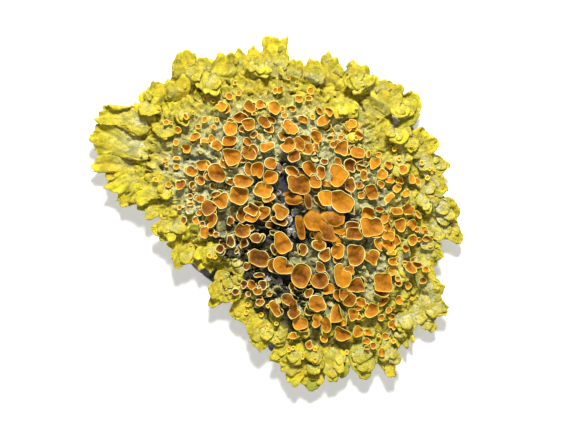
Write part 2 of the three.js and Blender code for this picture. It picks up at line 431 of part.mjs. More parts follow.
// Pockets that are shut in between overlapping lobes are grown solid: only the outer body is kept.
const larger = (a, b) => (b.volume() > a.volume() ? b : a);
const outerBody = (solid) => solid.decompose().reduce(larger);
const lichen = outerBody(outerBody(grown).simplify(SMALLEST_EDGE));

// The bark flake: flat below, a low dome above with shallow furrows, and a ragged, undercut edge.
const furrow = (x, y) =>
  FURROW * (1 + Math.sin(1.1 * x + 0.6 * Math.sin(0.8 * y)) * Math.cos(0.7 * y));
const bark = roundSlab(
  BARK_REACH, BARK_RAYS, BARK_RINGS,
  (x, y) => barkLie(x, y) - furrow(x, y),
  () => 0,
  BARK_UNDERCUT,
);

function mesh(name, solid, color, roughness) {
  const made = new THREE.Mesh(
    mergeVertices(geometryOf(solid), 1e-4),
    new THREE.MeshStandardMaterial({ color, roughness, metalness: 0, flatShading: true }),
  );
  made.name = name;
  return made;
}

const rosette = new THREE.Group();
rosette.name = "common_orange_lichen";
rosette.add(mesh("thallus", lichen, 0xcfae35, 0.8));
rosette.add(mesh("bark_flake", bark, 0xb9b4b6, 0.9));
export default rosette;
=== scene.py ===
# %% [markdown]
# Common orange lichen on a flake of bark.
# This lesson dresses a low-relief model of one rosette of lichen. The model has two bodies: the
# lichen, which grew as one piece, and the flake of bark under it. Both are replaced here by finer
# pieces of the same form. Lengths are in millimetres while a piece is made, and MM turns them into
# Blender's metres at the end.

# %% Load the frame
import math
import random
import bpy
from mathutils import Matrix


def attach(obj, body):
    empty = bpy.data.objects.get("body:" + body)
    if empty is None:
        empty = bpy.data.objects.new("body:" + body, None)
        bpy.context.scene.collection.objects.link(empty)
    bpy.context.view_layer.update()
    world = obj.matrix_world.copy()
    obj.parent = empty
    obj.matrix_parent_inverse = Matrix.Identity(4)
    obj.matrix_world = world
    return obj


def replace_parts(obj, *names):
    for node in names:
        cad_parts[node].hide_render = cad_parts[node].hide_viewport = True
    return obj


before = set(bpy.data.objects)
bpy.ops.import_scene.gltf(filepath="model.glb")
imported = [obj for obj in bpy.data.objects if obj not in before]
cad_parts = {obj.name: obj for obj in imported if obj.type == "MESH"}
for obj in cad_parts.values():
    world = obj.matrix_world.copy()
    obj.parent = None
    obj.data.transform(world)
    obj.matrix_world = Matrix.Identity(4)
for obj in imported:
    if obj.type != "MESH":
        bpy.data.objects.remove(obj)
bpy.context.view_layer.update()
from types import SimpleNamespace

import bmesh
import bpy
from mathutils import Euler, Matrix, Vector, noise
from mathutils.bvhtree import BVHTree

MM = 0.001

# %% [markdown]
# The camera looks straight down, as the photographer did. One picture point covers 0.17 mm, which
# was found from the usual size of this lichen's fruiting discs. A long lens keeps the view flat.

# %% Camera above the rosette
PICTURE_WIDTH = 577
POINT = 0.17
VIEW_CENTRE = (2.04, -0.51)
LENS = 85
SENSOR = 36
HALF_HEIGHT = 3

camera_data = bpy.data.cameras.new("camera")
camera_data.lens = LENS
camera_data.sensor_width = SENSOR
camera_data.clip_start = 10 * MM
camera_data.clip_end = 5
camera = bpy.data.objects.new("camera", camera_data)
bpy.context.scene.collection.objects.link(camera)
camera_height = HALF_HEIGHT + PICTURE_WIDTH * POINT * LENS / SENSOR
camera.location = (VIEW_CENTRE[0] * MM, VIEW_CENTRE[1] * MM, camera_height * MM)
bpy.context.scene.camera = camera
print(f"the camera stands {camera_height:.0f} mm above the table")

# %% [markdown]
# Soft studio light. The photograph's shadows fall towards the lower edge, so the main lamp stands
# beyond the upper edge, well above the table. A pale world fills the shadows without killing them.

# %% Lamps and world
LAMP_DISTANCE = 320
KEY_LAMP = dict(azimuth=86, rise=49, size=60, power=1.62)
FILL_LAMP = dict(azimuth=250, rise=60, size=260, power=0.12)
WORLD_STRENGTH = 0.23


def area_lamp(name, azimuth, rise, size, power):
    """A square lamp that faces the rosette from a compass direction, +Y being 90 degrees."""
    data = bpy.data.lights.new(name, "AREA")
    data.size = size * MM
    data.energy = power
    lamp = bpy.data.objects.new(name, data)
    azimuth, rise = math.radians(azimuth), math.radians(rise)
    flat = LAMP_DISTANCE * math.cos(rise)
    place = Vector((flat * math.cos(azimuth), flat * math.sin(azimuth), LAMP_DISTANCE * math.sin(rise)))
    lamp.location = place * MM
    lamp.rotation_euler = place.to_track_quat("Z", "Y").to_euler()
    bpy.context.scene.collection.objects.link(lamp)
    return lamp


area_lamp("key_lamp", **KEY_LAMP)
area_lamp("fill_lamp", **FILL_LAMP)
world = bpy.data.worlds.new("studio")
world.use_nodes = True
world.node_tree.nodes["Background"].inputs["Color"].default_value = (1, 1, 1, 1)
world.node_tree.nodes["Background"].inputs["Strength"].default_value = WORLD_STRENGTH
bpy.context.scene.world = world
bpy.context.scene.view_settings.view_transform = "Standard"
print("two lamps and a pale world")

# %% [markdown]
# Materials are small node trees. A few helpers keep them short: one turns the colour that the eye
# reads, from 0 to 255, into Blender's linear one, one adds a node with its settings, and the others
# stand for the nodes that come back again and again. A value that is the same all over goes
# straight on the shader's own socket.

# %% Helpers for the materials


def colour(red, green, blue):
    """A linear colour from one read off the screen."""
    def linear(value):
        share = value / 255
        return share / 12.92 if share <= 0.04045 else ((share + 0.055) / 1.055) ** 2.4
    return (linear(red), linear(green), linear(blue), 1)


def fill_socket(tree, socket, source):
    """Links a socket to another, or sets its value."""
    if isinstance(source, bpy.types.NodeSocket):
        tree.links.new(source, socket)
    else:
        socket.default_value = source


def add_node(tree, kind, sources=None, **settings):
    """Adds a shader node, sets its options, and fills its sockets with values or links."""
    made = tree.nodes.new("ShaderNode" + kind)
    for key, value in settings.items():
        setattr(made, key, value)
    for key, source in (sources or {}).items():
        fill_socket(tree, made.inputs[key], source)
    return made


def maths(tree, operation, first, second):
    """One sum, difference or product of two values or sockets."""
    return add_node(tree, "Math", {0: first, 1: second}, operation=operation).outputs[0]


def times(tree, first, second):
    """The product of two values or sockets."""
    return maths(tree, "MULTIPLY", first, second)


def level(tree, source, low, high, to_low=0.0, to_high=1.0):
    """Maps a value from one range to another and clamps it."""
    ends = {"From Min": low, "From Max": high, "To Min": to_low, "To Max": to_high}
    return add_node(tree, "MapRange", {"Value": source, **ends}).outputs["Result"]


def grain(tree, place, size, detail=4, roughness=0.55, distortion=0):
    """Noise whose lumps are about this many millimetres wide."""
    sources = {"Vector": place, "Scale": 1 / (size * MM), "Detail": detail}
    sources.update({"Roughness": roughness, "Distortion": distortion})
    return add_node(tree, "TexNoise", sources).outputs["Fac"]


def cells(tree, place, size):
    """Distance from the middle of the nearest cell of a pattern of cells this many millimetres wide."""
    sources = {"Vector": place, "Scale": 1 / (size * MM)}
    return add_node(tree, "TexVoronoi", sources).outputs["Distance"]


def veins(tree, source, half_width, soft, strength):
    """Thin lines where a noise crosses its middle value, strongest on the crossing."""
    away = level(tree, source, 0.5 - half_width, 0.5 + half_width, -1.0, 1.0)
    return level(tree, times(tree, away, away), 0.0, soft, strength, 0.0)


def ramp(tree, source, stops):
    """A colour ramp: stops are places from 0 to 1, each with its colour."""
    made = add_node(tree, "ValToRGB", {"Fac": source})
    points = made.color_ramp.elements
    while len(points) < len(stops):
        points.new(0.5)
    for point, (place, tone) in zip(points, stops):
        point.position = place
        point.color = tone
    return made.outputs["Color"]


def mixed(tree, share, first, second, kind="MIX"):
    """The colour that lies between two colours, each given as a colour or as a socket."""
    sources = {0: share, 6: first, 7: second}
    return add_node(tree, "Mix", sources, data_type="RGBA", blend_type=kind).outputs[2]


def painted(tree, base, coats):
    """Coats of paint over a base colour, each with the share that it covers and its colour."""
    for share, tone in coats:
        base = mixed(tree, share, base, tone)
    return base


def attributes(tree, *names):
    """Values that were stored on the mesh's points."""
    return [add_node(tree, "Attribute", attribute_name=name).outputs["Fac"] for name in names]


def new_material(name, roughness, specular):
    """A material with one principled shader, and the place on the piece that its patterns follow."""
    material = bpy.data.materials.new(name)
    material.use_nodes = True
    tree = material.node_tree
    shader = tree.nodes["Principled BSDF"]
    shader.inputs["Roughness"].default_value = roughness
    shader.inputs["Specular IOR Level"].default_value = specular
    place = add_node(tree, "TexCoord").outputs["Object"]
    return material, tree, shader, place


def dress(tree, shader, base, height, strength, depth):
    """Feeds a colour and a bump into the shader; depth is in millimetres."""
    tree.links.new(base, shader.inputs["Base Color"])
    made = add_node(tree, "Bump", {"Height": height, "Strength": strength, "Distance": depth * MM})
    tree.links.new(made.outputs["Normal"], shader.inputs["Normal"])


print("helpers ready")

# %% [markdown]
# The lichen's skin. On the real lichen it is lemon yellow at the growing edge, because the yellow
# pigment sits in the skin that the light reaches, and it fades through yellow-green to grey-green
# where the skin is old. A texture could be painted, but a few coats of noise over one colour ramp
# look the same from near and far. Values stored on the points steer them: age, from 0 at the
# growing edge to 1 in the old middle; a value of painted shading, 1 at the bottom of a valley and
# -1, a painted highlight, on a crest; green, which paints a few lobes greener, as shade; and a
# value of painted shade over the deep middle, 1 at its darkest.

# %% Skin of the lichen


def skin_material():
    material, tree, shader, place = new_material("lichen_skin", 0.72, 0.25)
    age, painted_shading, green, middle_shade_share = attributes(tree, "age", "painted_shading", "green", "painted_middle_shade")
    drift = maths(tree, "SUBTRACT", grain(tree, place, 2.2, 3), 0.5)
    aged = maths(tree, "ADD", age, times(tree, drift, 0.7))
    base = ramp(tree, aged, [
        (0.0, colour(247, 233, 52)),
        (0.25, colour(236, 219, 56)),
        (0.5, colour(230, 213, 80)),
        (0.75, colour(230, 218, 118)),
        (1.0, colour(224, 219, 168)),
    ])
    golden = level(tree, grain(tree, place, 3.4, 3, 0.5, 0.5), 0.42, 0.6, 0.0, 0.75)
    pale = level(tree, grain(tree, place, 0.8, 5, 0.62), 0.5, 0.64)
    olive = level(tree, grain(tree, place, 1.5, 5, 0.66, 0.6), 0.44, 0.66, 0.0, 0.66)
    painted_valley_shade = ramp(tree, age, [
        (0.0, colour(134, 126, 24)),
        (0.6, colour(172, 164, 84)),
        (1.0, colour(166, 162, 112)),
    ])
    painted_crest_highlight = times(tree, level(tree, painted_shading, -1.0, 0.0, 0.75, 0.0), level(tree, age, 0.25, 0.5))
    crest_highlight_tone = ramp(tree, aged, [(0.45, colour(248, 229, 84)), (0.95, colour(240, 231, 146))])
    crack_shade = veins(tree, grain(tree, place, 1.1, 3, 0.55, 1.0), 0.02, 0.7, 0.7)
    threads = veins(tree, grain(tree, place, 0.7, 3, 0.5, 0.8), 0.01, 0.8, 0.45)
    base = painted(tree, base, [
        # Patches: golden lobes, lobes painted green as shade, pale old skin, olive stains.
        (times(tree, golden, level(tree, age, 0.8, 0.3)), colour(226, 196, 44)),
        (times(tree, green, 0.75), colour(158, 178, 70)),
        (times(tree, pale, level(tree, age, 0.65, 1.0, 0.0, 0.65)), colour(226, 220, 168)),
        (olive, colour(150, 146, 34)),
        # The pale lip of the growing edge, partly a painted highlight on the edge, and dark pores.
        (level(tree, age, 0.0, 0.035, 0.6, 0.0), colour(250, 242, 128)),
        (level(tree, cells(tree, place, 1.2), 0.05, 0.1, 0.8, 0.0), colour(96, 72, 20)),
        # Painted shade in valleys and in the cracks of old skin, and a painted highlight on crests.
        (level(tree, painted_shading, 0.0, 1.0, 0.0, 0.76), painted_valley_shade),
        (painted_crest_highlight, crest_highlight_tone),
        (times(tree, crack_shade, level(tree, age, 0.3, 0.7)), colour(92, 88, 44)),
        # Painted shade over the deep middle, with threads of living skin left in it.
        (times(tree, middle_shade_share, 0.94), colour(46, 40, 36)),
        (times(tree, middle_shade_share, threads), colour(198, 204, 176)),
    ])
    fine = level(tree, grain(tree, place, 0.17, 4, 0.65), 0.3, 0.7, 0.7, 1.14)
    base = mixed(tree, 1.0, base, fine, "MULTIPLY")
    rough = maths(tree, "ADD", grain(tree, place, 0.5, 5, 0.6), grain(tree, place, 0.14, 4, 0.6))
    dress(tree, shader, base, rough, 0.9, 0.24)
    return material


def underside_material():
    """The pale underside, which shows where an edge curls up."""
    material, tree, shader, place = new_material("lichen_underside", 0.8, 0.2)
    tone = level(tree, grain(tree, place, 0.5, 5, 0.6), 0.35, 0.7)
    base = mixed(tree, tone, colour(206, 200, 140), colour(176, 172, 104))
    dress(tree, shader, base, grain(tree, place, 0.3, 5, 0.6), 0.5, 0.12)
    return material


def shred_material():
    """The white inner layer, fibrous and stained brown."""
    material, tree, shader, place = new_material("lichen_inner_layer", 0.9, 0.1)
    tone = level(tree, grain(tree, place, 0.4, 4, 0.6, 0.8), 0.4, 0.62)
    base = mixed(tree, tone, colour(206, 202, 188), colour(84, 74, 66))
    dress(tree, shader, base, grain(tree, place, 0.25, 5, 0.6), 0.7, 0.12)
    return material


SKIN = skin_material()
UNDERSIDE = underside_material()
SHRED = shred_material()
print("skin, underside and inner layer")

# %% [markdown]
# The fruiting discs are turned on the same skin but have three parts: a grey-green outer wall, a
# thin pale yellow rim, and the orange disc itself. The value part runs from 0 on the wall over 0.5
# on the rim to 1 on the disc, and heart grows from the rim to the middle. Three values differ from
# disc to disc: one for browning, because old discs turn brown, which also paints shade on discs that
# lie low or in the middle; fresh, because the young ones near the edge still have the yellow of the
# skin round them; and the painted shade over the middle, as on the skin.

# %% Skin of the fruiting discs


def disc_material():
    material, tree, shader, place = new_material("fruiting_disc", 0.6, 0.14)
    part, heart, browning_and_shade, fresh, middle_shade_share = attributes(tree, "part", "heart", "browning_and_shade", "fresh", "painted_middle_shade")
    stains_and_hollow_shade = maths(tree, "ADD", grain(tree, place, 1.2, 3), grain(tree, place, 0.4, 4, 0.6))
    stains_and_hollow_shade = times(tree, maths(tree, "SUBTRACT", stains_and_hollow_shade, 1.0), 0.6)
    # Darker towards the middle of the disc: partly a browner middle, partly painted shade of the hollow.
    stains_and_hollow_shade = maths(tree, "ADD", stains_and_hollow_shade, level(tree, heart, 0.1, 0.9, -0.06, 0.16))
    # Brown with age, and darker as painted shade on discs that lie low or in the deep middle.
    orange = ramp(tree, maths(tree, "ADD", browning_and_shade, stains_and_hollow_shade), [
        (0.0, colour(214, 147, 32)),
        (0.4, colour(182, 116, 19)),
        (0.75, colour(130, 76, 12)),
        (1.0, colour(88, 52, 12)),
    ])
    edge = level(tree, heart, 0.0, 0.25, 0.35, 0.0)
    orange = mixed(tree, edge, orange, colour(232, 164, 36))
    speck = level(tree, grain(tree, place, 0.12, 3, 0.6), 0.35, 0.65, 0.84, 1.1)
    orange = mixed(tree, 1.0, orange, speck, "MULTIPLY")
    wall_tone = level(tree, grain(tree, place, 0.35, 4), 0.35, 0.65)
    wall = painted(tree, colour(204, 202, 140), [
        (wall_tone, colour(136, 138, 84)),
        # Painted shade over the deep middle.
        (times(tree, middle_shade_share, 0.85), colour(64, 57, 42)),
        (times(tree, fresh, 0.7), colour(206, 194, 84)),
    ])
    rim_tone = level(tree, grain(tree, place, 1.3, 3), 0.42, 0.58)
    rim = painted(tree, colour(242, 234, 170), [
        (rim_tone, colour(232, 214, 108)),
        (fresh, colour(234, 212, 76)),
    ])
    base = painted(tree, wall, [
        (level(tree, part, 0.1, 0.42), rim),
        (level(tree, part, 0.55, 0.9), orange),
    ])
    dress(tree, shader, base, grain(tree, place, 0.22, 5, 0.6), 0.4, 0.09)
    return material


DISC = disc_material()
print("fruiting discs")

# %% [markdown]
# The bark is pale grey with a lilac cast, cracked, and sprinkled with dark dots, the fruits of a
# crust that grew there before. The dots come from a cell pattern: only the middle of each cell
# turns dark. Under the middle of the rosette, and on the lumps in its holes, shade is painted, and
# the bark goes nearly black there.

# %% Material of the bark


def bark_material():
    material, tree, shader, place = new_material("bark", 0.85, 0.2)
    (middle_shade_share,) = attributes(tree, "painted_middle_shade")
    tone = grain(tree, place, 1.4, 6, 0.62, 0.4)
    base = ramp(tree, tone, [
        (0.3, colour(138, 134, 138)),
        (0.48, colour(198, 197, 204)),
        (0.7, colour(232, 232, 236)),
    ])
    base = painted(tree, base, [
        (level(tree, cells(tree, place, 0.75), 0.1, 0.24, 1.0, 0.0), colour(58, 52, 50)),
        # Painted shade under the middle of the rosette and on the lumps in the holes.
        (times(tree, middle_shade_share, 0.94), colour(34, 28, 30)),
    ])
    rough = maths(tree, "ADD", tone, grain(tree, place, 0.3, 5, 0.65))
    dress(tree, shader, base, rough, 0.7, 0.25)
    return material


BARK = bark_material()
print("bark")

# %% [markdown]
# A helper finishes every piece: it takes a bmesh in millimetres, scales it to metres, gives it its
# materials, and tells the frame that the piece rides on the one body of this object. The table is
# the first to use it. It is plain and pale, and a faint glow of its own keeps it from going grey.

# %% Finish a piece, and the table
TABLE_HALF_WIDTH = 1500
TABLE_GLOW = 0.3


def finish_piece(name, bm, materials, slot=None):
    """Makes an object of a bmesh. Without a slot it is part of the stage, not of the model."""
    bmesh.ops.scale(bm, vec=(MM, MM, MM), verts=bm.verts)
    mesh = bpy.data.meshes.new(name)
    bm.to_mesh(mesh)
    bm.free()
    for material in materials:
        mesh.materials.append(material)
    mesh.shade_smooth()
    piece = bpy.data.objects.new(name, mesh)
    bpy.context.scene.collection.objects.link(piece)
    if slot:
        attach(piece, "root")
    print(f"{name}: {len(mesh.vertices)} points, {len(mesh.polygons)} faces")
    return piece


table_material, _, table_shader, _ = new_material("pale_table", 0.9, 0.1)
table_shader.inputs["Base Color"].default_value = (0.9, 0.9, 0.9, 1)
table_shader.inputs["Emission Color"].default_value = (1, 1, 1, 1)
table_shader.inputs["Emission Strength"].default_value = TABLE_GLOW
table_sheet = bmesh.new()
bmesh.ops.create_grid(table_sheet, x_segments=1, y_segments=1, size=TABLE_HALF_WIDTH)
finish_piece("table", table_sheet, [table_material])

# %% [markdown]
# The lie of the land. The bark is a low dome, and the lichen follows it. Both the floor of the
# lichen and the bark are round sheets whose outline is a ring of radii, one every 15 degrees,
# anticlockwise from the right, joined by a smooth curve. A disc with a pole would crowd its faces
# in the middle, so a square grid is pressed round instead.

# %% Lie of the bark and outlines
BARK_TOP = 2.3
BARK_FALL = 1.2
FALL_RADIUS = 28
BARK_LOWEST = 0.7
FLOOR_REACH = [
    27.5, 27.4, 25, 28, 26, 25.2, 26, 26.4, 27.5, 28.5, 29, 27,
    21.3, 17.4, 14.2, 13.8, 16, 18.6, 22, 27, 28, 29.5, 29.8, 27.4,
]
BARK_REACH = [
    25.8, 25.4, 27.8, 24.6, 23.6, 22.6, 23.8, 23.6, 25, 24.6, 25.6, 24,
    19.4, 16.6, 16.9, 16.0, 14.8, 17.6, 24.0, 24.4, 25.4, 25.4, 26, 25,
]


def lie(x, y):
    """Height of the bark under the lichen."""
    share = math.hypot(x, y) / FALL_RADIUS
    return max(BARK_LOWEST, BARK_TOP - BARK_FALL * share * share)


def curve_at(a, b, c, d, t):
    """A point between b and c on the smooth curve through four values or vectors."""
    return b + 0.5 * t * (c - a + t * (2 * a - 5 * b + 4 * c - d + t * (3 * b - a - 3 * c + d)))


def reach_at(reach, x, y):
    """Distance from the middle to the outline, in the direction of a point."""
    place = (math.atan2(y, x) / math.tau) % 1 * len(reach)
    first = int(place)
    four = [reach[(first + step) % len(reach)] for step in (-1, 0, 1, 2)]
    return curve_at(*four, place - first)


def round_sheet(reach, count):
    """A square grid pressed into the outline without a pole in the middle."""
    bm = bmesh.new()
    bmesh.ops.create_grid(bm, x_segments=count, y_segments=count, size=1)
    for point in bm.verts:
        a, b = point.co.x, point.co.y
        if abs(a) > abs(b):
            radius, turn = a, math.pi / 4 * b / a
        else:
            radius, turn = b, math.pi / 2 - (math.pi / 4 * a / b if b else 0)
        x, y = radius * math.cos(turn), radius * math.sin(turn)
        edge = reach_at(reach, x, y)
        point.co = (x * edge, y * edge, 0)
    return bm


def new_border(bm, border):
    """Extrudes a loop of border edges, and gives back the new points and the new edges."""
    made = bmesh.ops.extrude_edge_only(bm, edges=border)["geom"]
    points = [part for part in made if isinstance(part, bmesh.types.BMVert)]
    return points, [part for part in made if isinstance(part, bmesh.types.BMEdge)]


print("bark is", lie(0, 0), "mm high in the middle and", round(lie(25, 0), 2), "near the edge")

# %% [markdown]
# Where the floor has torn or never closed, the bark shows: round holes, each with a place and a
# radius, and crevices, each a line of points with a half width. The points were read from the
# photograph. Noise bends them, so that no edge is a clean circle. Round the long crevice, in the
# oldest part of the rosette, shade is painted over the deep, crowded middle, and a greyer branch of
# it runs towards the lower right. The painted shade follows from the distance to two lines.

# %% Holes, crevices and the dead heart
HOLES = [
    (-13.1, -6.9, 0.9), (-14.3, -8.6, 0.5), (-16.1, -3.3, 0.45), (-10.7, -10.4, 1.3), (-0.6, -23, 0.8),
    (23.8, 14.2, 0.6), (1.5, 8, 0.9), (12, -0.5, 0.8), (1.6, -3.6, 0.7), (2, -5.4, 0.8), (5.1, -3.8, 0.6),
    (8.9, -5.5, 0.7), (10.2, -14.6, 0.7), (11.6, -18.9, 0.6), (17.9, -2.2, 0.5), (-21.2, 13.8, 0.5),
    (-2.4, 26.2, 0.5), (7.6, 20.2, 0.5), (22.7, 17.6, 0.25), (-27.2, 9.4, 0.35), (-27.1, 7, 0.35),
    (-22, 9.2, 0.4), (-19.5, 7.9, 0.5), (-17.4, -5.9, 0.6), (-13, 21.1, 0.4), (-17.7, 17.4, 0.35),
    (-4.6, 20.4, 0.35), (2.6, 20.4, 0.35), (17.3, 22.9, 0.4), (15.4, 22.8, 0.35), (-13.3, 25.2, 0.35),
    (-7.1, 23.9, 0.45), (-8.2, 22.1, 0.35), (4.25, 22.6, 0.3), (18.2, 17.9, 0.4), (20, 15.5, 0.35),
    (21.6, 13.7, 0.35), (23.6, 13.4, 0.35), (25.5, 8.6, 0.35), (27.6, 2.6, 0.35), (22.9, -0.9, 0.35),
    (22, -4.1, 0.4), (-15.5, -2.2, 0.4), (-16.3, -4.2, 0.35), (-12.5, -5.8, 0.35), (-10.4, -9.2, 0.4),
    (-4, -17.1, 0.3), (-2.35, -18.2, 0.3), (-2, -21.6, 0.35), (0.5, -22.6, 0.35), (23.5, -18, 0.4),
    (18.5, -24.8, 0.4), (-24, 3.9, 0.35), (5.7, -12.1, 0.5),
]
CREVICES = [
    ([(0.6, 7.5), (1.2, 4.0), (1.9, 1.5), (2.3, -1.0), (2.6, -3.5), (3.0, -6.0)], 1.0),
    ([(-5.6, -4.4), (-3.4, -3.4), (-1.0, -3.6), (1.6, -4.2)], 0.7),
    ([(-9.4, -7.4), (-7.6, -6.9), (-6.0, -6.0), (-5.4, -4.4)], 0.6),
    ([(-4.6, -10.2), (-2.4, -10.6), (0.2, -11.6), (2.4, -12.0)], 0.5),
    ([(-9.4, -9.6), (-8.6, -8.6)], 0.5),
    ([(14.2, 18.6), (14.9, 17.6)], 0.25),
    ([(-21.2, 14.4), (-22.0, 13.6), (-22.8, 12.8)], 0.35),
    ([(-5.0, 24.6), (-4.4, 23.9)], 0.2),
    ([(24.7, 3.4), (25.6, 4.2), (26.4, 5.0)], 0.3),
    ([(12.0, -5.2), (13.6, -5.0), (15.2, -4.8)], 0.4),
    ([(-14.6, 9.4), (-13.0, 9.6), (-11.4, 9.0)], 0.35),
    ([(9.0, 4.0), (9.2, 0.2), (12.0, -0.4), (14.0, -0.2)], 0.5),
    ([(0.0, 4.4), (-3.8, 5.4), (-8.6, 5.0)], 0.4),
]
SHADED_MIDDLE = [(0.6, 6.0), (1.4, 2.0), (0.6, -3.0), (-4.4, -4.4), (-5.6, -7.8), (-2.6, -11.4), (3.0, -14.6)]
GREY_BRANCH = [(3.0, -14.6), (8.8, -22.0), (9.0, -17.0), (12.6, -12.4)]
FAR_OFF = 99


def smooth_step(low, high, value):
    """0 at low, 1 at high, and a smooth rise between them."""
    share = min(1.0, max(0.0, (value - low) / (high - low)))
    return share * share * (3 - 2 * share)


def from_line(x, y, line):
    """Distance from a point to a line of points."""
    nearest = FAR_OFF
    for (ax, ay), (bx, by) in zip(line, line[1:]):
        dx, dy = bx - ax, by - ay
        share = min(1, max(0, ((x - ax) * dx + (y - ay) * dy) / (dx * dx + dy * dy)))
        nearest = min(nearest, math.hypot(x - ax - share * dx, y - ay - share * dy))
    return nearest


def strayed(x, y):
    """A point moved by coarse and fine noise, so that what is measured from it has a ragged edge."""
    coarse, fine = Vector((x, y, 0)) / 1.1, Vector((x, y, 0)) / 0.45
    wx = x + 0.4 * noise.noise(coarse) + 0.3 * noise.noise(fine)
    wy = y + 0.4 * noise.noise(coarse + Vector((9, 9, 9))) + 0.3 * noise.noise(fine + Vector((5, 5, 5)))
    return wx, wy


def openness(x, y):
    """1 in a hole or crevice, 0 outside it, with a steep, ragged edge."""
    wx, wy = strayed(x, y)
    most = 0
    for hx, hy, radius in HOLES:
        if abs(wx - hx) < 2 and abs(wy - hy) < 2:
            most = max(most, 1 - smooth_step(0.7, 1.25, math.hypot(wx - hx, wy - hy) / radius))
    for line, width in CREVICES:
        if abs(wx - line[0][0]) < 9 and abs(wy - line[0][1]) < 14:
            most = max(most, 1 - smooth_step(0.6, 1.4, from_line(wx, wy, line) / width))
    return most


def painted_middle_shade(x, y):
    """Painted shade: 1 over the deep, crowded middle, less along its grey branch, 0 from a few millimetres
    outside them.
    """
    swing = 2.2 * noise.noise(Vector((x, y, 3)) / 2.6)
    low = smooth_step(4, -3, y)
    from_heart = from_line(x, y, SHADED_MIDDLE) + swing
    heart = (0.7 + 0.3 * low) * (1 - smooth_step(1.2 + 1.4 * low, 5.6 + 4.6 * low, from_heart))
    branch = 0.6 * (1 - smooth_step(0.5, 5.0, from_line(x, y, GREY_BRANCH) + swing))
    return max(heart, branch)


print(len(HOLES), "holes and", len(CREVICES), "crevices")

# %% [markdown]
# The bark flake: a thin piece of outer bark that broke off with the lichen on it. A round sheet is
# raised to a lumpy dome, and its edge is drawn down in two steps to a flat underside. Extruding the
# border loop makes the broken edge, so it stays joined to the top, and one face closes the bottom.
# Lumps of bark stand up where the lichen has come away, and they are painted dark, as shade in the holes.

# %% Bark flake
BARK_COUNT = 200
BROKEN_EDGE = ((0.5, 1.008), (0.0, 0.985))
SHADED_LUMPS = [
    (1.5, 8, 1, 1), (12, -0.5, 0.9, 1.1), (1.6, -3.6, 0.8, 1), (2.1, -5.4, 0.9, 1), (5.1, -3.8, 0.6, 1),
    (8.9, -5.5, 0.7, 1.1), (10.2, -14.6, 0.7, 1.1), (11.6, -18.9, 0.7, 1), (-13.1, -6.9, 1.1, 0.6),
    (-10.7, -10.4, 1.5, 0.5), (-0.6, -23, 1, 0.6), (23.8, 14.2, 0.8, 0.6), (17.9, -2.2, 0.5, 1),
]


def bark_height(x, y):
    """Height of the bark, and how much of it is a crinkled lump, which is painted dark as shade in its
    hole.
    """
    furrow = 0.12 * (1 + math.sin(1.1 * x + 0.6 * math.sin(0.8 * y)) * math.cos(0.7 * y))
    here = Vector((x, y, 0))
    rough = 0.16 * noise.noise(here / 1.6) + 0.14 * noise.noise(here / 0.6)
    lump = sum(
        high * math.exp(-((x - lx) ** 2 + (y - ly) ** 2) / (wide * wide))
        for lx, ly, wide, high in SHADED_LUMPS
        if abs(x - lx) < 4 and abs(y - ly) < 4
    )
    crinkle = 0.5 + 1.3 * abs(noise.noise(here / 0.6)) + 0.5 * noise.noise(here / 0.35)
    return lie(x, y) - furrow + rough + lump * crinkle, min(1, 1.8 * lump * crinkle)


def make_bark():
    bm = round_sheet(BARK_REACH, BARK_COUNT)
    dark = bm.verts.layers.float.new("painted_middle_shade")
    for point in bm.verts:
        ragged = 1 + 0.02 * noise.noise(point.co / 1.5)
        x, y = point.co.x * ragged, point.co.y * ragged
        height, lump_shade = bark_height(x, y)
        point.co = (x, y, height)
        # Painted shade under the middle of the rosette and on the lumps that stand in the holes.
        point[dark] = max(min(1, 1.6 * painted_middle_shade(x, y)), lump_shade)
    border = [edge for edge in bm.edges if edge.is_boundary]
    for share, inward in BROKEN_EDGE:
        points, border = new_border(bm, border)
        for point in points:
            point.co.x *= inward
            point.co.y *= inward
            point.co.z *= share
    bmesh.ops.contextual_create(bm, geom=border)
    bmesh.ops.recalc_face_normals(bm, faces=bm.faces)
    return finish_piece("bark_flake_fine", bm, [BARK], "bark")


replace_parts(make_bark(), "bark_flake")

# %% [markdown]
# The floor of the lichen is the old part of its body, one skin that has grown together. It is
# wrinkled in several ways: soft swellings a few millimetres apart, ridges that run outwards from the
# middle as it grew, two sizes of small domes like crumpled leather, and creases between them. It
# could be sculpted, but nothing overhangs, so a height for each grid point is enough.

# %% Floor of the lichen
FLOOR_COUNT = 290
FLOOR_SHARE = 0.95
FLOOR_TOP = 1.2
HUMMOCK = 0.55
HUMMOCK_SPACING = 5.2
EDGE_DROP = 0.75
HOLE_DEPTH = 0.7
FLOOR_AGEING = 11
NOISE_SEED = 5

# Blender's noise vectors start from a new place in each run, unless they get a seed.
noise.seed_set(NOISE_SEED)


def hummock(x, y):
    """Soft swellings in wavy rows."""
    u, v = math.tau * x / HUMMOCK_SPACING, math.tau * y / HUMMOCK_SPACING
    east_west = math.sin(u + 0.6 * math.sin(0.37 * v))
    north_south = math.sin(v + 0.8 * math.cos(0.41 * u))
    return HUMMOCK * (1 + 0.5 * east_west + 0.5 * north_south)


def wrinkles(x, y):
    """Ridges, domes and creases, from about -0.5 to 0.5 mm."""
    here = Vector((x, y, 0))
    radius = math.hypot(x, y)
    bent = here + 0.5 * noise.noise_vector(here / 1.4)
    turn = math.atan2(bent.y, bent.x)
    along = Vector((19 * math.cos(turn), 19 * math.sin(turn), radius / 3.6))
    ridge = (0.5 - 2 * abs(noise.noise(along))) * smooth_step(5, 15, radius)
    dome = 0.3 - noise.voronoi(bent / 1.45)[0][0]
    small = 0.28 - noise.voronoi(bent / 0.62)[0][0]
    crease = 0.3 - 2 * abs(noise.noise(bent / 1.1))
    return 0.42 * ridge + 0.6 * dome + 0.42 * small + 0.32 * crease + 0.14 * noise.noise(here / 0.4)


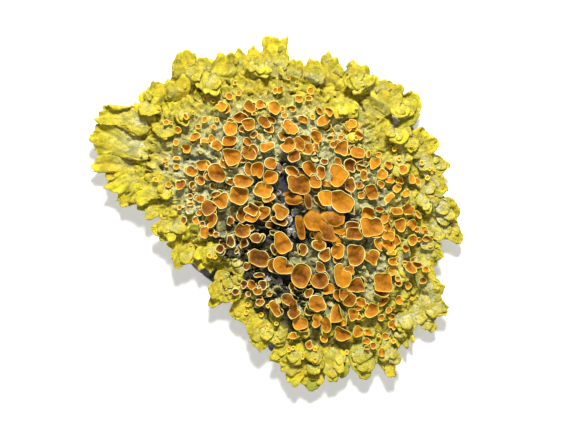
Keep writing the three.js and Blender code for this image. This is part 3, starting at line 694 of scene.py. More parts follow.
def floor_at(x, y):
    """Height of the floor, and its painted shading: 1, painted shade, in a valley or hole, and below 0, a
    painted highlight, on a crest.
    """
    share = math.hypot(x, y) / reach_at(FLOOR_REACH, x, y)
    relief = wrinkles(x, y)
    open_share = openness(x, y)
    swelling = 0.75 * hummock(x, y) * (1 - 0.5 * smooth_step(0.6, 1, share))
    top = lie(x, y) + FLOOR_TOP + swelling + relief - EDGE_DROP * smooth_step(0.78, 1.0, share)
    bottom = lie(x, y) - HOLE_DEPTH
    painted_shading = smooth_step(0.02, -0.4, relief)
    painted_crest_highlight = smooth_step(0.1, 0.42, relief) * (1 - open_share)
    return top + (bottom - top) * open_share, max(painted_shading, open_share) - painted_crest_highlight


def make_floor():
    bm = round_sheet(FLOOR_REACH, FLOOR_COUNT)
    age, painted_shading, dark, _ = [bm.verts.layers.float.new(name) for name in ("age", "painted_shading", "painted_middle_shade", "green")]
    for point in bm.verts:
        x, y = point.co.x * FLOOR_SHARE, point.co.y * FLOOR_SHARE
        edge = reach_at(FLOOR_REACH, x, y)
        height, sunk = floor_at(x, y)
        point.co = (x, y, height)
        point[age] = min(1, max(0.3, (edge - math.hypot(x, y) + 1) / FLOOR_AGEING))
        # Painted shade in valleys and holes, and a painted highlight on crests.
        point[painted_shading] = sunk
        # Painted shade over the deep middle.
        point[dark] = painted_middle_shade(x, y)
    points, border = new_border(bm, [edge for edge in bm.edges if edge.is_boundary])
    for point in points:
        point.co.z = lie(point.co.x, point.co.y) + 0.1
    bmesh.ops.contextual_create(bm, geom=border)
    bmesh.ops.recalc_face_normals(bm, faces=bm.faces)
    return bm


floor_bm = make_floor()
print("floor:", len(floor_bm.faces), "faces")

# %% [markdown]
# The lobes of the margin, clockwise from the top, where the real lichen still grows. Each row holds
# where the lobe leaves the floor, how high it stands there and at its free edge, and the points of
# that edge. The second list holds the lobes that lie over the floor or over the roots of the others.
# They are read one by one, because their outlines give the rosette its likeness.

# %% Lobes read from the photograph
MARGIN = [
    ((-0.3, 23.2), (0.8, 1.5), [(-2.8, 27.6), (-1.6, 28.4), (-2.2, 29.8), (-0.6, 29.8), (0.3, 29.5),
        (2, 30.1), (1.6, 28.4), (1.9, 26.5)]),
    ((3, 22.2), (0.5, 0.9), [(1.8, 26.5), (2.9, 26.4), (3.9, 26.1), (5.1, 25.5)]),
    ((6, 21.8), (0.7, 1.5), [(4.6, 25), (5.3, 25.9), (6.2, 26.2), (7.1, 26), (7.4, 25.2)]),
    ((9, 21.6), (0.5, 1), [(7.2, 25.8), (7.9, 26.8), (8.8, 27.8), (9.4, 27), (10.5, 26.3), (10.9, 25.3),
        (11.9, 23.9)]),
    ((13.2, 20.6), (0.8, 1.6), [(12.2, 24.5), (12.3, 25.9), (13.1, 26.1), (14.3, 25.2), (15.3, 25.1),
        (16.1, 23.8), (16, 22.8)]),
    ((16, 20.2), (0.5, 1.2), [(15.4, 23.2), (16.6, 23.6), (17.3, 23.2), (17.4, 22.2)]),
    ((17.4, 17.6), (0.8, 1.4), [(17.5, 23.1), (18.6, 22.9), (19.7, 22.4), (21.3, 21.8), (21.7, 21.1),
        (21.4, 20.3)]),
    ((20, 17), (0.5, 1.3), [(21.6, 20.3), (22.7, 20.5), (23.2, 20.9), (24.2, 19.9), (24.7, 19.2),
        (24.8, 18.2), (24.2, 17.2)]),
    ((20.4, 14.8), (0.3, 0.6), [(24.6, 17.4), (24.1, 16.2), (23.7, 15.1), (22.9, 14.5)]),
    ((20.8, 10.4), (0.7, 1.3), [(23.6, 13.1), (24.7, 14.5), (25.3, 13.7), (26.2, 13.3), (27.3, 12.7),
        (27.6, 11.8), (27.4, 11.1), (26.7, 10.5)]),
    ((23.6, 8.6), (0.6, 1.4), [(26.7, 10.2), (27.6, 9.8), (28.6, 9.3), (29.4, 8.6), (29.4, 7.9),
        (28.6, 7.2), (28.4, 6.4)]),
    ((24.6, 5), (0.4, 0.9), [(28.5, 6.5), (28.9, 5), (28.8, 4), (27.9, 3), (26.6, 2.8)]),
    ((25.4, 1), (0.8, 1.7), [(27.8, 2.3), (28.8, 2.8), (30.1, 2.5), (30.6, 1.7), (31.3, 0.7), (31.2, -0.3),
        (30.5, -1.3)]),
    ((25.4, -1.8), (0.4, 0.9), [(31, -0.9), (31, -1.9), (31.6, -2.8), (31.9, -4.4), (30.7, -5.2),
        (29.8, -4.3), (28.6, -4.4), (27.8, -3.1)]),
    ((24.4, -4.4), (0.7, 1.1), [(26.9, -3.4), (27.3, -4.6), (28.2, -5.2), (27.4, -6.1)]),
    ((23.6, -7.2), (0.5, 1.3), [(27.3, -5.9), (28.5, -7), (27.6, -7.9), (27, -9.3)]),
    ((23.6, -10.8), (0.7, 1.2), [(27, -9), (27.1, -10.4), (27.3, -11.5), (28.4, -12.1), (28.7, -13),
        (28.2, -13.9)]),
    ((24.4, -14.2), (0.5, 1.5), [(28.1, -13.4), (28.2, -15.2), (29.3, -16), (28.6, -17.3), (27.4, -17.4),
        (26.4, -16.8)]),
    ((22.8, -15.4), (0.3, 0.5), [(26.2, -17.4), (27.3, -18.9), (26.9, -20.1), (26.3, -20.4), (25.2, -19),
        (24.2, -19)]),
    ((21.4, -17.2), (0.4, 0.8), [(23.8, -19.1), (23.4, -20.3), (23.5, -21.4), (22.9, -21.9),
        (22.3, -21.2)]),
    ((20.6, -19.2), (0.7, 1.5), [(22.5, -21.4), (22.5, -22.6), (22.1, -22.9), (21.4, -22.4), (20.8, -22.9),
        (20.2, -22)]),
    ((19.4, -20.8), (0.4, 0.7), [(20.9, -22.8), (20.4, -23.9), (19.2, -24.3)]),
    ((18.2, -22.2), (0.6, 1.3), [(19.7, -24.2), (19.9, -25.2), (20.3, -26), (20.1, -26.7), (20.4, -27.5),
        (19.4, -28.1), (18.6, -27.5), (18.3, -25.8)]),
    ((17.2, -21.2), (0.3, 0.5), [(18.3, -26.1), (17.8, -26.4), (16.8, -25.2), (15.9, -23.9)]),
    ((14.2, -21.8), (0.7, 1.1), [(16, -24.4), (16.1, -26), (16, -27.4), (15.2, -27.7), (14.4, -28.2),
        (13.7, -27.3), (13, -26.8), (12.8, -25.6)]),
    ((11.4, -23.6), (0.3, 0.5), [(12.5, -26.4), (12.1, -27.6), (10.9, -27.8), (10.4, -26.9)]),
    ((9.8, -22.8), (0.7, 1.5), [(11.5, -26.1), (10.7, -27), (10.3, -28.4), (9.5, -28.7), (8.8, -28.3),
        (8.3, -27.5), (8.5, -26.2)]),
    ((6.6, -24.2), (0.3, 0.6), [(8.2, -27.6), (7.8, -28.8), (6.9, -29.7), (6.3, -30.1), (5.4, -30),
        (4.5, -28.6), (4.3, -27.6)]),
    ((4.4, -23.6), (0.6, 1.3), [(4.6, -28.1), (3.9, -28.9), (3.3, -29.3), (2.4, -29), (1.7, -28.4),
        (1.5, -26.6)]),
    ((3.2, -22), (0.8, 1.2), [(1.6, -26.2), (1, -26.7), (0.5, -25.7), (-0.4, -25), (-1.2, -24.3),
        (-0.6, -23.6)]),
    ((-1.4, -18.2), (0.6, 1.2), [(-1.8, -22), (-2.1, -22.7), (-2.7, -23.3), (-3.3, -22.8), (-4.5, -22),
        (-4.7, -21), (-5.2, -19.4), (-4.8, -18.4)]),
    ((-4.4, -15.2), (0.3, 0.6), [(-4.9, -18.9), (-5.7, -18.7), (-7.2, -17.9), (-8.2, -16.9),
        (-7.7, -15.8)]),
    ((-8.2, -13), (0.2, 0.5), [(-9.2, -15), (-10.2, -15.8), (-11.1, -15.9), (-11.8, -15.4),
        (-11.2, -14.4)]),
    ((-6.8, -11.4), (0.6, 1.3), [(-6.8, -14.6), (-8.2, -15.3), (-9.4, -15), (-10.2, -14.6), (-11.2, -14.5),
        (-11.5, -13.4), (-11.3, -12), (-9.8, -11.8)]),
    ((-10.4, -5.6), (0.4, 0.7), [(-10.3, -8.8), (-11.2, -10.1), (-12, -9.2), (-13.2, -9.7), (-14.1, -8.4)]),
    ((-14.6, -4.4), (0.5, 1.1), [(-14.8, -8.8), (-15.5, -8.7), (-16.9, -9.6), (-17.5, -9.1), (-17.5, -8),
        (-17.9, -6.8), (-17, -6.2)]),
    ((-15.2, -4.2), (0.4, 0.8), [(-17.9, -6.3), (-18.6, -5.6), (-18.3, -4.9), (-17.2, -4.2)]),
    ((-16.8, -2.4), (0.8, 1.1), [(-18.3, -4.9), (-19.7, -4.6), (-19.9, -3.8), (-21.3, -2.3), (-20.8, -1.6),
        (-19.4, -1.4)]),
    ((-17.6, 1.2), (0.3, 0.7), [(-18.7, -1.4), (-19.6, -0.7), (-20.8, -0.1), (-22.1, 0.3), (-23.6, 0.6),
        (-24, 1.5)]),
    ((-22.6, 3.8), (0.2, 0.5), [(-24, 1.3), (-25.4, 1.3), (-26.6, 1.5), (-27.3, 2.6), (-27, 3.6)]),
    ((-18.2, 4.9), (1.5, 1.7), [(-18.3, 3.3), (-20.6, 2.7), (-22.2, 2.1), (-23.6, 1.4), (-24.6, 2.4),
        (-24.6, 3.8), (-23.7, 5.3), (-22.6, 6.5), (-20.5, 7)]),
    ((-23.6, 6), (0.9, 1.2), [(-24.4, 3.6), (-25.6, 3.5), (-26.9, 3.2), (-28, 3.9), (-29.4, 4.3),
        (-28.3, 5.4), (-27.9, 6.3)]),
    ((-24.4, 8), (0.7, 1.1), [(-28.3, 5.9), (-29.3, 5.5), (-29.2, 6.8), (-30.9, 7), (-31.4, 7.9),
        (-30.9, 9.1), (-30.1, 10.1)]),
    ((-22.2, 11.2), (0.9, 1.6), [(-27, 10.7), (-29.4, 10.3), (-30.6, 10.2), (-31.2, 11.3), (-31.7, 12.4),
        (-31.8, 13.4), (-31.2, 14.3), (-29.9, 15.1)]),
    ((-22, 15.6), (1.2, 2), [(-25, 13.9), (-27, 15.1), (-29.9, 15.1), (-30.7, 15.8), (-30, 17.1),
        (-29.4, 18), (-28.3, 18.2), (-27.6, 17.6), (-25.6, 17.7)]),
    ((-21.6, 15.4), (0.7, 1.1), [(-25.6, 17.6), (-24.5, 18.3), (-23.3, 18.8), (-22.4, 18.2)]),
    ((-20, 18), (0.8, 1.6), [(-23, 18.8), (-23.4, 19.4), (-22.5, 20.6), (-22.2, 21.2), (-21.5, 21.9),
        (-20.9, 22.6), (-19.9, 22.4)]),
    ((-18.2, 19.2), (0.5, 0.9), [(-20.2, 22.4), (-19.2, 22.3), (-18.4, 22.8), (-17.4, 23.6)]),
    ((-15.4, 22), (0.7, 1.5), [(-17.6, 23.6), (-17.7, 24.8), (-17.5, 26.3), (-16.6, 27.3), (-15.5, 27.8),
        (-14.4, 27.4), (-13.7, 26.4), (-13.6, 25)]),
    ((-16.6, 19.4), (0.6, 0.9), [(-19.4, 21.6), (-18, 22.4), (-16.6, 23), (-15, 23.4)]),
    ((-12.2, 22.2), (0.4, 0.8), [(-13.8, 26.6), (-12.5, 26.6), (-11, 26.3), (-10.2, 25.6)]),
    ((-8.8, 22.4), (0.6, 1.4), [(-10.7, 26.2), (-10.1, 27.2), (-9.3, 27.4), (-8.4, 27.1), (-7.8, 27.6),
        (-6.9, 27.4)]),
    ((-6, 22.6), (0.4, 0.8), [(-7.2, 27.4), (-6.3, 28), (-5.5, 27.5), (-4.8, 26.8)]),
    ((-3.8, 22.8), (0.6, 1.1), [(-5.1, 27), (-4.6, 28.1), (-4, 28.6), (-3.4, 28.1), (-2.4, 27)]),
]
INNER = [
    ((11.3, 19.6), (1.2, 1.8), [(9, 17.2), (10, 16.2), (11.5, 15.9), (13, 16), (13.9, 17)]),
    ((14.4, 23), (1.3, 2), [(12.4, 23.4), (11.7, 22.2), (12.5, 21.2), (14.4, 20.9), (15.6, 21.6)]),
    ((20.8, 18.8), (1.1, 1.8), [(19.6, 16.7), (20.6, 16.3), (21.7, 16.3), (22.5, 17)]),
    ((20.4, 14.6), (1, 1.7), [(18.9, 12.9), (19.8, 12), (21.2, 12.1), (22.4, 12.9)]),
    ((21.4, 10), (1, 1.9), [(20, 8), (20.3, 6.6), (21.5, 6.1), (22.5, 6.8), (22.7, 8.2)]),
    ((25.6, 3.4), (0.9, 1.6), [(24.5, 1.5), (25.1, 0.5), (25.7, -0.1), (26.6, 1.3)]),
    ((3.4, -22.2), (1.4, 2), [(2.2, -25), (2.9, -25.8), (4, -25.5), (4.4, -24.4)]),
    ((-11, -4.8), (1, 1.6), [(-8.9, -7), (-9.4, -8.3), (-11.2, -8.4), (-12.6, -8.1), (-13.9, -7.8)]),
    ((-17.7, -1.2), (1.4, 2.1), [(-16.7, -2.4), (-16.7, -3.7), (-17.8, -4.8), (-18.8, -3.9),
        (-18.8, -2.5)]),
    ((-16, 17.8), (1, 1.6), [(-17.1, 16.3), (-16.4, 15.2), (-15.2, 15.2), (-14.8, 16.4)]),
    ((-12, 23.6), (1.2, 2), [(-14.3, 22.6), (-13.6, 21.5), (-11.8, 20.6), (-10, 20), (-9.4, 21.2)]),
    ((-3.2, 25.6), (1.2, 1.7), [(-5, 24.4), (-3.6, 23.4), (-1.9, 22.9), (-0.9, 24)]),
    ((22.8, 13), (0.9, 1.6), [(21.9, 11.3), (22.6, 10.4), (23.4, 10.6), (24, 11.5)]),
    ((21.4, -16.6), (0.9, 1.8), [(20.2, -19.2), (21.2, -20.2), (22, -19.6), (22.2, -18.2)]),
    ((0.3, -19.6), (0.8, 1.4), [(-1, -22), (0.2, -22.4), (1.1, -22.1), (1.8, -21)]),
    ((-13.9, -3.4), (1, 1.8), [(-15.9, -4.4), (-15.6, -3.3), (-15, -2.5), (-14.2, -2)]),
    ((-21, 18.8), (1.2, 1.8), [(-22.6, 17.9), (-22.3, 16.7), (-21, 16.6), (-19.8, 17.2)]),
    ((-19.4, 15.2), (1, 1.6), [(-20.9, 13.9), (-20, 13.1), (-18.7, 12.6), (-18.1, 13.8)]),
    ((13, 14.2), (1, 1.6), [(11.6, 12.8), (12.3, 12.1), (13.6, 12.2), (14.2, 13.2)]),
    ((6.8, -22.8), (0.9, 1.7), [(6, -24.4), (6.4, -25.5), (7.4, -25.3), (7.7, -24.1)]),
    ((6.3, -25.2), (0.9, 1.6), [(5.9, -26.4), (6.6, -27), (7.3, -26.6), (7.5, -25.8)]),
    ((22, -8.2), (1, 1.7), [(20, -6.4), (20.6, -7.6), (20.7, -9), (21, -10.2), (21.6, -11)]),
]
# A few lobes painted greener and darker, as shade.
GREENER = {
    (6.6, -24.2): 0.9, (11.4, -23.6): 0.9, (14.2, -21.8): 0.6, (20.4, 14.8): 0.6, (17.2, -21.2): 0.5,
}
print(len(MARGIN), "lobes in the margin and", len(INNER), "over them")

# %% [markdown]
# The free edge of a lobe is read from the photograph at its corners and tips only. A smooth curve
# through those points is cut anew into even steps, so that the faces along the edge are all alike.

# %% Smooth line through points
CURVE_STEPS = 12
EDGE_STEPS = 8


def smooth_line(points, count):
    """Evenly spaced points on a smooth curve through the given ones, and the curve's length."""
    spots = [Vector(point) for point in points]
    ends = [2 * spots[0] - spots[1], *spots, 2 * spots[-1] - spots[-2]]
    fine = []
    for first in range(len(spots) - 1):
        fine += [curve_at(*ends[first:first + 4], step / CURVE_STEPS) for step in range(CURVE_STEPS)]
    fine.append(spots[-1])
    runs = [0]
    for a, b in zip(fine, fine[1:]):
        runs.append(runs[-1] + (b - a).length)
    line = []
    at = 0
    for step in range(count + 1):
        goal = runs[-1] * step / count
        while at + 2 < len(runs) and runs[at + 1] < goal:
            at += 1
        share = (goal - runs[at]) / max(1e-6, runs[at + 1] - runs[at])
        line.append(fine[at].lerp(fine[at + 1], min(1, share)))
    return line, runs[-1]


def line_length(points):
    return smooth_line(points, EDGE_STEPS)[1]


print(f"the free edge of the first lobe is {line_length(MARGIN[0][2]):.1f} mm long")

# %% [markdown]
# A lobe of the real lichen is a leaf of skin, held at its root and free along its edge, where it
# grows, puckers and curls. Here it is a flat grid bent into a fan: its columns run from the root to
# the points of the free edge. Noise scallops the edge, and the height of each point is a sum: a rise
# to the edge, puffs and pleats, a fold that follows the fingers of the edge, ripples, a ruffle near
# the edge, and a dip along both sides, which tucks the lobe against its neighbours. Small lobes curl
# their sides up instead, and the broad lobes on the left have wide, soft puffs. Noise is used
# because a lobe has to look grown, yet come out the same each time.

# %% Grow one lobe
LOBE_STEP = 0.2
SMALL_STEP = 0.26
LOBE_TOP = 1.02
LICHEN_GAP = 0.3
SMOOTH_SIDE = -21
SMALL_LENGTH = 2.6
EDGE_SCALLOP = 2.0
BROAD_SCALLOP = 1.3
FINGER_FOLD = 0.3
RUFFLE = 0.36
SIDE_DIP = 0.3
SMALL_CURL = 0.12
LIP_DIP = 0.14
LOBE_ROOT_SINK = 0.9
LOBE_AGEING = 8
SMALL_ROOT_AGE = 0.62


def over_bark(x, y):
    """The height that the lobes of the margin rise from."""
    return lie(x, y) + LOBE_TOP


def scalloped(tip, root, seed, broad, length):
    """A point of the free edge, moved in or out along its own column."""
    arc = Vector((tip.x, tip.y, seed))
    wave = 1.1 if broad else 1.6
    scallop = 0.5 * abs(noise.noise(arc / wave)) + 0.18 * abs(noise.noise(arc / 0.55)) - 0.16
    most = EDGE_SCALLOP * min(1, length / 3) * (BROAD_SCALLOP if broad else 1)
    return tip + (tip - root).normalized() * scallop * most


def skin_relief(run, flat, seed, broad, small):
    """Height of the puffs and pleats, height of the ripples, and how sharp a crease there is."""
    strength = 0.32 if small else 1 if broad else 0.8
    puff = abs(noise.noise(Vector((run.x, run.y / 1.3, seed)) / (3.4 if broad else 2.3)))
    pleat = abs(noise.noise(Vector((run.x / 0.95, run.y / 1.5, seed + 7))))
    fold = strength * (1.3 * puff + (0.3 if broad else 0.5) * pleat - 0.4)
    here = Vector((flat.x, flat.y, seed))
    ripple = strength * 0.28 * noise.noise(here / 1.7) + 0.09 * noise.noise(here / 0.5)
    return fold, ripple, max(1 - puff / 0.1, 0.7 - pleat / 0.07, 0)


def grow_lobe(bm, root, up, edge, seed, ground, green=0, step=LOBE_STEP):
    """Adds one lobe's upper skin to the bmesh. ground gives the height that it rises from."""
    broad = root[0] < SMOOTH_SIDE
    root = Vector(root)
    rim_length = line_length(edge)
    middle = sum((Vector(point) for point in edge), Vector((0, 0))) / len(edge)
    length = (middle - root).length
    small = length < SMALL_LENGTH
    columns, rows = max(7, round(rim_length / step)), max(5, round(length / step))
    line = smooth_line(edge, columns)[0]
    mean = sum((tip - root).length for tip in line) / len(line)
    span = line[-1] - line[0]
    age, painted_shading, tone = [bm.verts.layers.float[name] for name in ("age", "painted_shading", "green")]
    made = bmesh.ops.create_grid(bm, x_segments=columns, y_segments=rows, size=0.5)["verts"]
    for point in made:
        # u runs across the lobe and v from its root to its edge, both from 0 to 1.
        u, v = point.co.x + 0.5, point.co.y + 0.5
        aside = abs(2 * u - 1) ** 5
        v *= 1 - 0.2 * aside
        tip = scalloped(line[round(u * columns)], root, seed, broad, length)
        base = root + span * 0.7 * (u - 0.5)
        spread = span.normalized() * 0.16 * length * math.sin(math.pi * v) * (2 * u - 1)
        flat = base.lerp(tip, v) + spread
        run = Vector((u * rim_length, v * length))
        fold, ripple, crease = skin_relief(run, flat, seed, broad, small)
        fold += FINGER_FOLD * max(-1, min(1, 5 * ((tip - root).length / mean - 1))) * v
        ruffle = RUFFLE * smooth_step(0.6, 1, v) * noise.noise(Vector((run.x / 1.1, seed, 4)))
        rise = up[0] + (up[1] - up[0]) * v * v + fold * v ** 0.5 + ripple + ruffle
        rise -= LOBE_ROOT_SINK * (1 - smooth_step(0, 0.28, v))
        if small:
            rise += SMALL_CURL * (aside * v + v ** 4)
        else:
            rise -= SIDE_DIP * aside * v + LIP_DIP * smooth_step(0.94, 1, v)
        height = max(lie(flat.x, flat.y) + LICHEN_GAP, ground(flat.x, flat.y) + rise)
        point.co = (flat.x, flat.y, height)
        older = SMALL_ROOT_AGE * (1 - v) if small else min(1, (1 - v) * (tip - base).length / LOBE_AGEING)
        point[age] = older + 0.2 * smooth_step(8, 22, flat.x) * smooth_step(16, 6, flat.y)
        # Painted shade in the creases and dips of the skin.
        point[painted_shading] = min(1, 0.75 * crease + smooth_step(0.1, 0.4, -fold - ripple))
        point[tone] = green
    bm.normal_update()
    faces = {face for point in made for face in point.link_faces}
    if sum(face.normal.z for face in faces) < 0:
        bmesh.ops.reverse_faces(bm, faces=list(faces))
    bm.normal_update()
    for face in faces:
        # Where the skin curls over, its pale underside shows.
        face.material_index = 1 if face.normal.z < 0 else 0
    return made


def lobe_bmesh():
    """An empty bmesh with the values that the skin's material reads."""
    bm = bmesh.new()
    for name in ("age", "painted_shading", "green", "painted_middle_shade"):
        bm.verts.layers.float.new(name)
    return bm


print("a lobe's grid has a point every", LOBE_STEP, "mm")

# %% [markdown]
# The lobes that were read one by one are grown in three pieces, so that no piece gets too heavy:
# two halves of the margin, and the lobes above them. The seed of a lobe's noise follows from its
# number, so a change to one lobe leaves the others as they are.

# %% Margin and inner lobes


def grow_lobes(rows, first_seed):
    bm = lobe_bmesh()
    for number, (root, up, edge) in enumerate(rows):
        grow_lobe(bm, root, up, edge, first_seed + 3.7 * number, over_bark, GREENER.get(root, 0))
    return bm


half = len(MARGIN) // 2
lobe_bms = {
    "lobes_right": grow_lobes(MARGIN[:half], 11),
    "lobes_left": grow_lobes(MARGIN[half:], 211),
    "lobes_inner": grow_lobes(INNER, 411),
}
for name, bm in lobe_bms.items():
    print(name, len(bm.faces), "faces")

# %% [markdown]
# Behind the free edge of most lobes sit younger scallops, small rounded lobes like ears that overlap
# each other and give the margin its crumpled look. They are too many to read, so a seeded rule sets
# them behind points of the edge, facing outwards. The broad lobes on the left are smooth and have
# none.

# %% Scallops behind the edge
EAR_TURNS = (-1.8, -1.1, -0.4, 0.4, 1.1, 1.8)
EAR_RADIUS = 0.52
FRINGE_SPACING = 1.25
FRINGE_SKIPPED = 0.5


def ear(x, y, facing, reach, rng):
    """Six edge points of a small, rounded lobe like an ear, which touches its root."""
    radius = EAR_RADIUS * reach
    cx, cy = x + radius * math.cos(facing), y + radius * math.sin(facing)
    edge = []
    for turn in EAR_TURNS:
        out = radius * rng.uniform(0.86, 1.1)
        edge.append((cx + out * math.cos(facing + turn), cy + out * math.sin(facing + turn)))
    return edge


def fringe_rows(rows, rng):
    """Root, heights and edge of each scallop, and how much older it is than the edge it sits behind."""
    made = []
    for root, up, edge in rows:
        if root[0] < SMOOTH_SIDE:
            continue
        for tip in smooth_line(edge, max(2, round(line_length(edge) / FRINGE_SPACING)))[0]:
            if rng.random() < FRINGE_SKIPPED:
                continue
            out = tip - Vector(root)
            reach = rng.uniform(1.2, 2.8)
            behind = reach * rng.uniform(1.05, 1.5)
            start = tip - out * min(0.8, behind / out.length)
            facing = math.atan2(out.y, out.x) + rng.uniform(-0.8, 0.8)
            fan = ear(start.x, start.y, facing, reach, rng)
            rise = up[1] + rng.uniform(-0.3, 0.3)
            made.append((tuple(start), (rise - 0.2, rise), fan, 0.1 * behind))
    return made


def grow_fringe():
    bm = lobe_bmesh()
    for number, (root, up, edge, older) in enumerate(fringe_rows(MARGIN + INNER, random.Random(67))):
        for point in grow_lobe(bm, root, up, edge, 901 + 2.9 * number, over_bark, step=SMALL_STEP):
            point[bm.verts.layers.float["age"]] += older
    return bm


lobe_bms["fringe"] = grow_fringe()
print("fringe", len(lobe_bms["fringe"].faces), "faces")

# %% [markdown]
# Small lobules cover the floor between the margin and the discs, each turned outwards. A seeded rule
# places these too: a random spot in a ring, a direction away from the middle, and an ear.

# %% Small lobules
LOBULE_COUNT = 260
LOBULE_RING = (0.3, 0.84)


def floor_only(x, y):
    """The height that what grows on the floor rises from."""
    return floor_at(x, y)[0]


def scatter_lobules(rng):
    bm = lobe_bmesh()
    for number in range(LOBULE_COUNT):
        turn = rng.uniform(0, math.tau)
        share = math.sqrt(rng.uniform(*LOBULE_RING))
        reach = reach_at(FLOOR_REACH, math.cos(turn), math.sin(turn)) * share
        x, y = reach * math.cos(turn), reach * math.sin(turn)
        facing = math.atan2(y, x) + rng.uniform(-0.6, 0.6)
        up = (0.05, rng.uniform(0.15, 0.5))
        edge = ear(x, y, facing, rng.uniform(1.0, 2.4), rng)
        for point in grow_lobe(bm, (x, y), up, edge, 5.3 * number, floor_only, step=SMALL_STEP):
            point[bm.verts.layers.float["age"]] += 0.8 - 0.9 * (share - 0.55) / 0.4
    return bm


lobe_bms["lobules"] = scatter_lobules(random.Random(23))
print("lobules", len(lobe_bms["lobules"].faces), "faces")

# %% [markdown]
# The fruiting discs have to stand on what grows under them, so the height of every skin made so
# far is looked up from above. A tree of all faces answers that quickly. The one large face that
# closes the floor below is left out of it.

# %% Look up the ground from above
ABOVE_ALL = 60
DOWN = Vector((0, 0, -1))


def tree_of_skins():
    points, faces = [], []
    for bm in (floor_bm, *lobe_bms.values()):
        first = len(points)
        bm.verts.ensure_lookup_table()
        points += [point.co.copy() for point in bm.verts]
        faces += [[first + point.index for point in face.verts] for face in bm.faces if len(face.verts) < 5]
    return BVHTree.FromPolygons(points, faces)


def height_on(tree, x, y):
    """Height of the first face that is met from above, or None."""
    hit = tree.ray_cast(Vector((x, y, ABOVE_ALL)), DOWN)[0]
    return None if hit is None else hit.z


skins = tree_of_skins()


def ground_at(x, y):
    found = height_on(skins, x, y)
    return over_bark(x, y) if found is None else found


print("the skin in the middle is", round(ground_at(0, 0), 2), "mm high")

# %% [markdown]
# So far each lobe is only an upper skin. A Solidify modifier gives it its thickness, downwards, with
# the pale underside as its second material. The floor is a closed body already.

# %% Finish the floor and the lobes
SKIN_THICKNESS = 0.24
THIN_SKIN = 0.15
SHRED_THICKNESS = 0.12


def thicken(piece, thickness):
    skin = piece.modifiers.new("skin", "SOLIDIFY")
    skin.thickness = thickness * MM
    skin.offset = -1
    skin.material_offset = 1


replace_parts(finish_piece("thallus_floor", floor_bm, [SKIN], "thallus"), "thallus")
for name, bm in lobe_bms.items():
    thickness = THIN_SKIN if name in ("fringe", "lobules") else SKIN_THICKNESS
    thicken(finish_piece(name, bm, [SKIN, UNDERSIDE, SKIN], "thallus"), thickness)

# %% [markdown]
# The fruiting discs, called apothecia, are where the fungus makes its spores. They were read one by
# one: centre, length, width and turn in degrees. A round disc has only a centre and a width. The
# first list has the discs from about 1.3 mm, the second the smaller ones, and the third the
# youngest, which are still rings with a pinhole of orange.

